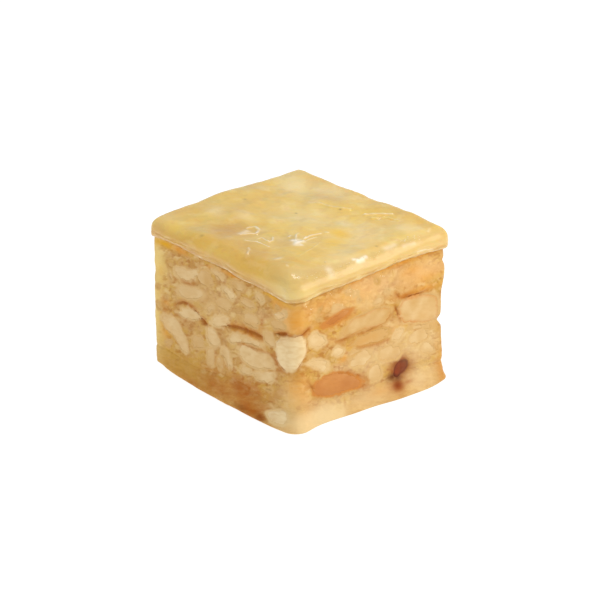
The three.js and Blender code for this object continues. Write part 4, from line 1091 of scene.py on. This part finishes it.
def lid():
    """A grid over the top, then rings from its border: over the rim on a quarter of an ellipse, wide
    at the front and right and tight behind, down the side, round the lower lip and back under."""
    columns, rows = 240, 216
    left, front, right, back = LID_TOP_CORNERS * (HALF_LENGTH, HALF_WIDTH) + LID_TOP_SET_IN
    across, deep = (v[..., None] for v in np.meshgrid(np.linspace(0, 1, columns), np.linspace(0, 1, rows)))
    grid = (left * (1 - across) + front * across) * (1 - deep) + (back * (1 - across) + right * across) * deep
    # the front right corner is drawn in along a hyperbola, so that the rim turns it without a crease
    apart = np.abs((front[0] - grid[..., 0]) + (grid[..., 1] - front[1]))
    drawn_in = 0.5 * (np.sqrt(apart**2 + 3.2**2) - apart) * smooth(14, 8, apart)
    grid = grid + drawn_in[..., None] * [-1, 1]
    inner = np.concatenate([grid[0], grid[1:, -1], grid[-1, -2::-1], grid[-2:0:-1, 0]])
    sides = []
    for k, (share, along, out) in enumerate((
        (np.linspace(0, 1, columns), (1, 0), (0, -1)), (np.linspace(0, 1, rows)[1:], (0, 1), (1, 0)),
        (np.linspace(0, 1, columns)[1:], (-1, 0), (0, 1)), (np.linspace(0, 1, rows)[1:-1], (0, -1), (-1, 0)),
    )):
        half = (HALF_LENGTH + LID_OVERHANG, HALF_WIDTH + LID_OVERHANG)
        half_run, half_out = half if along[0] else half[::-1]
        run, off, n_run, n_out = (v[:, None] for v in rounded_side(
            share, half_run, half_out, LID_ROUNDING[k], LID_ROUNDING[(k + 1) % 4]))
        sides.append(np.hstack([run * along + off * out, n_run * along + n_out * out]))
    outer, normal = np.split(np.vstack(sides), 2, axis=1)
    around = np.column_stack([outer, np.full(len(outer), 28.0)])
    swell = swells(LID_SWELLS, *outer.T) + 0.14 * lumps(around, 4.5, SEED + 50)
    swell = swell + 0.05 * lumps(around, 1.4, SEED + 51)
    outer = outer + normal * swell[:, None]
    spread = np.hypot(*(outer - inner).T)
    top = lid_over(*inner.T)
    drop = 0.8 * np.minimum(spread, 3.6)
    low_soft = 0.45  # the radius of the lower lip
    floor = lid_under(*outer.T) + 0.12 * lumps(around, 1.7, SEED + 52) + 0.05 * lumps(around, 0.7, SEED + 53)
    rings = []
    for a in np.linspace(0, math.pi / 2, RIM_ROWS + 1)[1:]:
        flat = inner + (outer - inner) * math.sin(a)
        rings.append(np.column_stack([flat, top - drop * (1 - math.cos(a))]))
    for s in np.linspace(0, 1, 15)[1:]:
        height = (top - drop) * (1 - s) + (floor + low_soft) * s
        above = height - floor
        crease = -0.04 * np.exp(-(((above - 1.2) / 0.25) ** 2))
        rings.append(np.column_stack([outer + normal * (0.06 * math.sin(math.pi * s) + crease)[:, None], height]))
    for a in np.linspace(0, math.pi / 2, 4)[1:]:
        flat = outer - normal * low_soft * (1 - math.cos(a))
        rings.append(np.column_stack([flat, floor + low_soft * (1 - math.sin(a))]))
    under = outer - normal * 1.1
    rings += flat_rings(under, (1.0, 0.8, 0.5, 0.2), lid_under)
    border = grid.reshape(-1, 2)
    flat_top = np.column_stack([border, lid_over(*border.T)])
    points = np.vstack([flat_top] + rings + [[0, 0, lid_under(0.0, 0.0)]])
    # creases, blisters and dimples of the top sheet, fading out down the rim, and painted highlights along the
    # creases
    xy = points[:, :2]
    on_top = smooth(PIECE_HEIGHT - 4, PIECE_HEIGHT - 1.6, points[:, 2])
    lift = 0.06 * crumble(points, 2.4, SEED + 55, 3, 0.5) + 0.08 * lumps(points, 6.0, SEED + 58)
    glint = np.zeros(len(points))
    uneven = 1 + 0.5 * lumps(points, 0.9, SEED + 60)
    for path, height, width, white in WRINKLES:
        gap = near_path(points, path, 3.0)
        lift += height * np.exp(-((gap / width) ** 2)) * uneven
        lift -= 0.2 * height * np.exp(-((gap / (2.6 * width)) ** 2))
        glint = np.maximum(glint, white * np.exp(-((gap / (0.9 * width)) ** 2)) * uneven)
    points[:, 2] += lift * on_top
    # faces: the grid, then rings joined to its border
    index = np.arange(rows * columns).reshape(rows, columns)
    quads = np.stack([index[:-1, :-1], index[:-1, 1:], index[1:, 1:], index[1:, :-1]], -1).reshape(-1, 4)
    loop = np.concatenate([index[0], index[1:, -1], index[-1, -2::-1], index[-2:0:-1, 0]])
    count = len(loop)
    loops = np.vstack([loop, rows * columns + np.arange(len(rings) * count).reshape(-1, count)])
    a, b = loops[:-1], loops[1:]
    skirt = np.stack([a, b, np.roll(b, -1, 1), np.roll(a, -1, 1)], -1).reshape(-1, 4)
    fan = np.stack([loops[-1], np.full(count, len(points) - 1), np.roll(loops[-1], -1)], -1)
    mesh = new_mesh("pastry_lid_sheets", points, quads.tolist() + skirt.tolist() + fan.tolist())
    # what the material reads
    frayed = 1 + 0.3 * lumps(points, 1.8, SEED + 64)
    beyond = np.concatenate([np.zeros(rows * columns), *(np.hypot(*(r[:, :2] - inner).T) for r in rings), [0]])
    height_above = points[:, 2] - lid_under(points[:, 0], points[:, 1])

    def patch(table, fray=frayed):
        """The most that any round patch reaches, strength * exp(-(distance / half size)^2), on top only."""
        most = np.zeros(len(points))
        for px, py, rx, ry, strength in table:
            far = ((xy[:, 0] - px) / rx) ** 2 + ((xy[:, 1] - py) / ry) ** 2
            most = np.maximum(most, strength * np.exp(-far * fray))
        return most * on_top

    # painted shade: darker honey colour on the lid's front skirt and round its front right corner
    painted_rim_shade = 0.1 * smooth(0.5, 2.5, beyond) + 0.45 * smooth(2.8, 1.2, height_above)
    painted_rim_shade = painted_rim_shade * smooth(18, 13, points[:, 0]) * smooth(-15, -17, points[:, 1])
    painted_rim_shade += ((0.24 * smooth(1.2, 2.2, beyond) + 0.06 * smooth(0.9, 0.6, on_top))
                  * smooth(9, 17, points[:, 0]) * smooth(-17, -12, points[:, 1]))
    patched = {name: patch(table) for name, table in LID_PATCHES.items()}
    # the lid's honey mark holds this painted shade as well as the honey patches
    patched["honey"] += painted_rim_shade
    store(
        mesh,
        **patched,
        speck=patch(LID_SPECKS, 1.0),
        glint=glint,
        # lip: the lower lip's duller colour; its third term, on the front only, is painted shade that darkens the
        # front of the lower lip
        lip=((0.4 + 0.3 * lumps(points, 3.0, SEED + 66)) * smooth(1.5, 0.9, height_above)
             + (0.5 + 0.4 * lumps(points, 2.0, SEED + 67)) * smooth(0.5, 0.1, height_above)
             + 0.5 * smooth(1.2, 0.5, height_above) * smooth(-16, -18, points[:, 1])) * (1 - on_top),
        rim=smooth(0.2, 2.2, beyond) * smooth(9, 19, points[:, 0]),
        above=np.where(on_top < 0.9, height_above / LIP_READS_TO, 1),
    )
    place(mesh, LID_PASTRY, "glazed_pastry", "pastry_lid")
    return points[: rows * columns + RIM_ROWS * count]


def beads(glaze):
    """Beads of air and syrup: squashed balls, ten sides round and three rings high, half sunk into the
    surface they sit on. Pale flat ones lie along the lid's right rim, each on the nearest of the
    glaze's own points, clear ones under its lip."""
    turn = np.linspace(0, 2 * math.pi, 10, endpoint=False)
    tall = np.array([-0.8, -0.1, 0.75])
    ball = np.stack([
        np.sqrt(1 - tall[:, None] ** 2) * np.cos(turn), np.sqrt(1 - tall[:, None] ** 2) * np.sin(turn),
        tall[:, None] + 0 * turn,
    ], -1)[None]
    tries = 150
    x = np.where(draw.random(tries) < 0.4, draw.normal(19.0, 1.2, tries), draw.normal(19.7, 0.4, tries))
    y = np.where(x < 19.2, draw.normal(-12.5, 2.6, tries), draw.uniform(-15, 13, tries))
    keep = (x < 20.6) & (x > 17) & (y > -17) & (y < 14)
    seats = np.column_stack([x, y])[keep]
    rim = glaze[glaze[:, 0] > 14]
    middles = rim[np.linalg.norm(rim[None, :, :2] - seats[:, None], axis=-1).argmin(1)]
    sizes = (0.07 + 0.15 * draw.random(len(middles)) ** 3)[:, None, None, None]
    place(joined_rings("lid_syrup_beads", middles[:, None, None] + ball * sizes * [1, 1, 0.3]),
          BEADS, "glazed_pastry", "pastry_lid")
    # beads on the right face stand for sparkles of syrup; their pale colour is partly painted highlight
    groups = np.array([(-10.1, 25.2), (-9.4, 24.4), (-5.3, 24.5), (-4.6, 24.8), (-3.7, 24.9), (-7.3, 21.4),
                       (-7.1, 22.5), (-15.8, 25.2), (-15, 24), (2.5, 25.6)])
    seats = np.repeat(groups, 5, 0)
    seats = seats + draw.normal(0, 0.45, seats.shape)
    middles = on_face("right", seats[:, 0], seats[:, 1])
    middles[:, 0] += wall_level(middles) + wall_grain(middles)
    sizes = (0.06 + 0.1 * draw.random(len(seats)) ** 2)[:, None, None, None]
    place(joined_rings("wall_syrup_beads", middles[:, None, None] + ball * sizes), BEADS, "nut_paste", "nut_filling")


# ---------------------------------------------------------------- the base
# Paler places and seams of the pressed sheets, by face: along, up, half length, half height, strength.
BASE_PALE = {"front": [(18.6, 2, 3, 2, 0.5)], "right": [(-16.6, 3, 2, 1.2, 0.4)]}
BASE_SEAMS = {"front": [(-5, 0.6, 7, 0.3, 0.3)], "right": [(-6.8, 2.4, 0.25, 1.8, 0.5), (9, 1.6, 3.5, 0.25, 0.35)]}


def base():
    """A flat underside, a soft lower edge, a side that swells into a foot, an upper edge, and the top
    that the filling hides."""
    ground, normal = plan(700)
    foot = swells(FOOT_SWELLS, *ground.T)
    top = base_top(*ground.T)
    section = [(-0.7, 0.0), (-0.3, 0.015), (-0.05, 0.05), (0.06, 0.1)]
    section += [(0.08 * smooth(1.0, 0.7, s), s) for s in np.linspace(0.1, 1.0, 26)[1:]]
    lift = swells(FOOT_LIFTS, *ground.T)
    rings = flat_rings(ground, (0.3, 0.6, 0.85), lambda x, y: swells(FOOT_LIFTS, x, y))
    for out, share in section + [(0.0, 1.06), (0.0, 1.12), (0.0, 1.18)]:
        slope = foot * max(1 - share, 0) ** FOOT_FLARE
        height = lift + share * (top - lift)
        inward = 0.25 * smooth(-0.5, 0.8, height - top)
        rings.append(np.column_stack([ground + normal * (out + slope - inward)[:, None], height]))
    rings += flat_rings(ground, (0.95, 0.7, 0.3), base_top)
    p = np.array(rings)
    row = np.arange(len(p))[:, None]
    side = smooth(0.0, 0.5, p[..., 2]) * (row > 3) * (row < len(p) - 3)
    push = wall_level(p) + wall_grain(p) + 0.04 * lumps(p * [0.35, 0.35, 2.2], 1.0, SEED + 83)
    push += 0.05 * lumps(p, 1.2, SEED + 84) - 0.02
    lent = {name: 0 * push for name in ("nut", "toast")}
    for nut in every_nut:
        if nut.up - nut.half[1] < 6:
            along, up, out = face_coordinates(nut.face, p)
            near = (np.abs(out) < 2.2) & (np.abs(along - nut.along) < nut.half[0] + 1)
            beyond = nut.beyond(along[near], up[near])
            push[near] -= 0.6 * smooth(-0.25, -0.7, beyond)
            if nut.halo:
                halo = HALO_STRENGTH * smooth(HALO_REACH, -0.05, beyond)
                lent[nut.halo][near] = np.maximum(lent[nut.halo][near], halo)
    p[..., :2] += normal * (push * side)[..., None]
    mesh = ring_mesh("pastry_base_sheets", p)
    flat = p.reshape(-1, 3)
    along, up, out = face_coordinates("right", flat)
    block = smooth(-6.0, -7.6, along) * smooth(-19.5, -17, along) * smooth(4.4, 2.8, up) * smooth(-2, 0, out)
    below = base_top(flat[:, 0], flat[:, 1]) - up
    marked = {
        "pale": 0.9 * block + spots(flat, BASE_PALE),
        "seam_and_shade": spots(flat, BASE_SEAMS, 0.6),
        "sheet": smooth(0.4, 2.8, below + 0.8 * lumps(flat, 2.0, SEED + 86)),
        "nut": lent["nut"].ravel(),
        "nut_tone": 0.4 + 0 * up,
        "toast": lent["toast"].ravel(),
        **zones(flat),
    }
    store(mesh, **{name: np.append(values, [values[0], values[-1]]) for name, values in marked.items()})
    return place(mesh, BASE_PASTRY, "soaked_pastry", "pastry_base")


# ---------------------------------------------------------------- nuts into meshes
def kernel_piece(row, nut):
    """One large kernel. Its rim keeps some skin; a toasted one is paler higher up, and a caramelised
    one darkens towards its rim and in lumps, its lighter middle a painted highlight."""
    name, face, material, rim, tone, _ = row
    rings, inset = nut_rings(nut, 96, 22, 5, 1.5 if face == "corner" else 3.0, 0.6)
    mesh = ring_mesh(name + "_cut", rings)
    mottle = 0.3 * lumps(rings, 2.2, SEED + 30) + 0.15 * lumps(rings, 0.9, SEED + 32)
    skin = smooth(1.1, 0.25, inset) * rim * (0.8 + 0.5 * lumps(rings, 1.8, SEED + 31))
    fade = (0.7 if material is CARAMEL else 0.25) * smooth(0.6, 0.0, inset + 0.4 * lumps(rings, 1.1, SEED + 34))
    if material is TOASTED:
        tone = tone - 0.12 * (rings[..., 2] - nut.up)
    if material is CARAMEL:
        # painted highlight: the caramelised kernel is lighter in its middle
        tone = 0.67 * (0.5 * smooth(1.3, 0.3, inset) + 0.7 * smooth(-0.2, 0.5, lumps(rings, 1.1, SEED + 35)))
    else:
        tone = tone_mark(tone + mottle)
    store(mesh, tone=np.append(tone, [tone.mean()] * 2), fade=np.append(fade, [0, 1]),
          **{mark: np.append(values, [0, 0]) for mark, values in {"skin": skin, **zones(rings)}.items()})
    return place(mesh, material, FINISHES[material][0], name)


def chopped_piece(name, nuts, columns, cap_rows, turn_rows, depth, blend):
    """All chopped nuts of one size in one mesh, each closed, with its own tone."""
    made = [nut_rings(nut, columns, cap_rows, turn_rows, depth, blend) for nut in nuts]
    rings = np.array([m[0] for m in made])
    inset = np.array([m[1] for m in made])
    tone = tone_mark(np.array([nut.tone for nut in nuts])[:, None, None] + 0.3 * lumps(rings, 1.6, SEED + 33))
    fade = 0.15 * smooth(0.4, 0.0, inset + 0.3 * lumps(rings, 1.1, SEED + 34))
    marked = {"tone": tone, "fade": fade, **zones(rings)}
    mesh = joined_rings(name, rings)
    store(mesh, **{mark: np.pad(values.reshape(len(nuts), -1), ((0, 0), (0, 2)), "edge")
                   for mark, values in marked.items()})
    return place(mesh, BLANCHED, "blanched_nut", "nut_filling")


filling()
beads(lid())
base()
for row, nut in zip(KERNELS, kernel_nuts):
    kernel_piece(row, nut)
chopped_piece("chopped_nuts_large", chips, 48, 9, 3, 1.2, 0.5)
chopped_piece("chopped_nuts_small", small_chips, 12, 2, 1, 0.7, 0.4)


# ---------------------------------------------------------------- floor, light and camera
def studio_floor():
    """A plain disc of pale card, a ring of its top, its edge and its underside."""
    turn = np.linspace(0, 2 * math.pi, 64, endpoint=False)
    rings = [np.stack([r * np.cos(turn), r * np.sin(turn), np.full(64, z)], -1)
             for r, z in ((300.0, -5.0), (4000.0, -5.0), (4000.0, 0.0), (1200.0, 0.0), (300.0, 0.0))]
    mesh = ring_mesh("studio_floor", np.array(rings))
    material, tree, _ = start_material("pale_card")
    card = {"Base Color": "#808080", "Roughness": 0.9, "Specular IOR Level": 0.1, "Emission Color": "#ffffff",
            "Emission Strength": 0.92}
    shader = add(tree, "ShaderNodeBsdfPrincipled", card)
    add(tree, "ShaderNodeOutputMaterial", {"Surface": shader.outputs[0]})
    mesh.materials.append(material)
    floor = bpy.data.objects.new("studio_floor", mesh)
    bpy.context.scene.collection.objects.link(floor)


def toward(azimuth, elevation):
    """The direction from the piece to a point at that azimuth (0 is -Y, 90 is +X) and elevation."""
    a, e = math.radians(azimuth), math.radians(elevation)
    return np.array([math.sin(a) * math.cos(e), -math.cos(a) * math.cos(e), math.sin(e)])


def aim(thing, place_mm, target_mm):
    """Puts a lamp or camera at a place and turns the way it looks, -Z, to the target."""
    thing.location = Vector(place_mm) * MM
    thing.rotation_euler = (Vector(target_mm) - Vector(place_mm)).to_track_quat("-Z", "Y").to_euler()


def softbox(name, azimuth, elevation, distance, width, height, power, colour):
    """A rectangle of light that faces the piece."""
    light = bpy.data.lights.new(name, "AREA")
    light.shape = "RECTANGLE"
    light.size, light.size_y = width * MM, height * MM
    light.energy = power
    light.color = linear(colour)[:3]
    lamp = bpy.data.objects.new(name, light)
    bpy.context.scene.collection.objects.link(lamp)
    aim(lamp, toward(azimuth, elevation) * distance, (0, 0, 15))


studio_floor()
# each light: name, azimuth, elevation, distance, width, height, power in watts, colour
for lamp in (
    ("key_softbox", 112, 42, 260, 200, 200, 0.36, "#fff6ea"),
    ("glint_box", 222, 60, 600, 110, 90, 0.25, "#ffffff"),
    ("front_fill", -10, 25, 700, 500, 400, 0.5, "#ffffff"),
):
    softbox(*lamp)

world = bpy.data.worlds.new("white_studio")
bpy.context.scene.world = world
world.use_nodes = True
background = world.node_tree.nodes["Background"]
background.inputs["Color"].default_value = linear("#ffffff")
background.inputs["Strength"].default_value = 0.58

CAMERA_AZIMUTH, CAMERA_ELEVATION, CAMERA_DISTANCE = 48.25, 24.9, 500.0
# the camera looks at a point this far to its right of the piece's middle, and this high
LOOK_ASIDE, LOOK_UP = 0.41, 14.93
camera_data = bpy.data.cameras.new("camera")
camera_data.lens = 156.0
camera_data.sensor_width = 36.0
camera_data.clip_end = 20.0
camera = bpy.data.objects.new("camera", camera_data)
bpy.context.scene.collection.objects.link(camera)
sideways = np.array([math.cos(math.radians(CAMERA_AZIMUTH)), math.sin(math.radians(CAMERA_AZIMUTH)), 0])
aim(camera, toward(CAMERA_AZIMUTH, CAMERA_ELEVATION) * CAMERA_DISTANCE,
    LOOK_ASIDE * sideways + np.array([0, 0, LOOK_UP]))
bpy.context.scene.camera = camera
bpy.context.scene.view_settings.view_transform = "Standard"
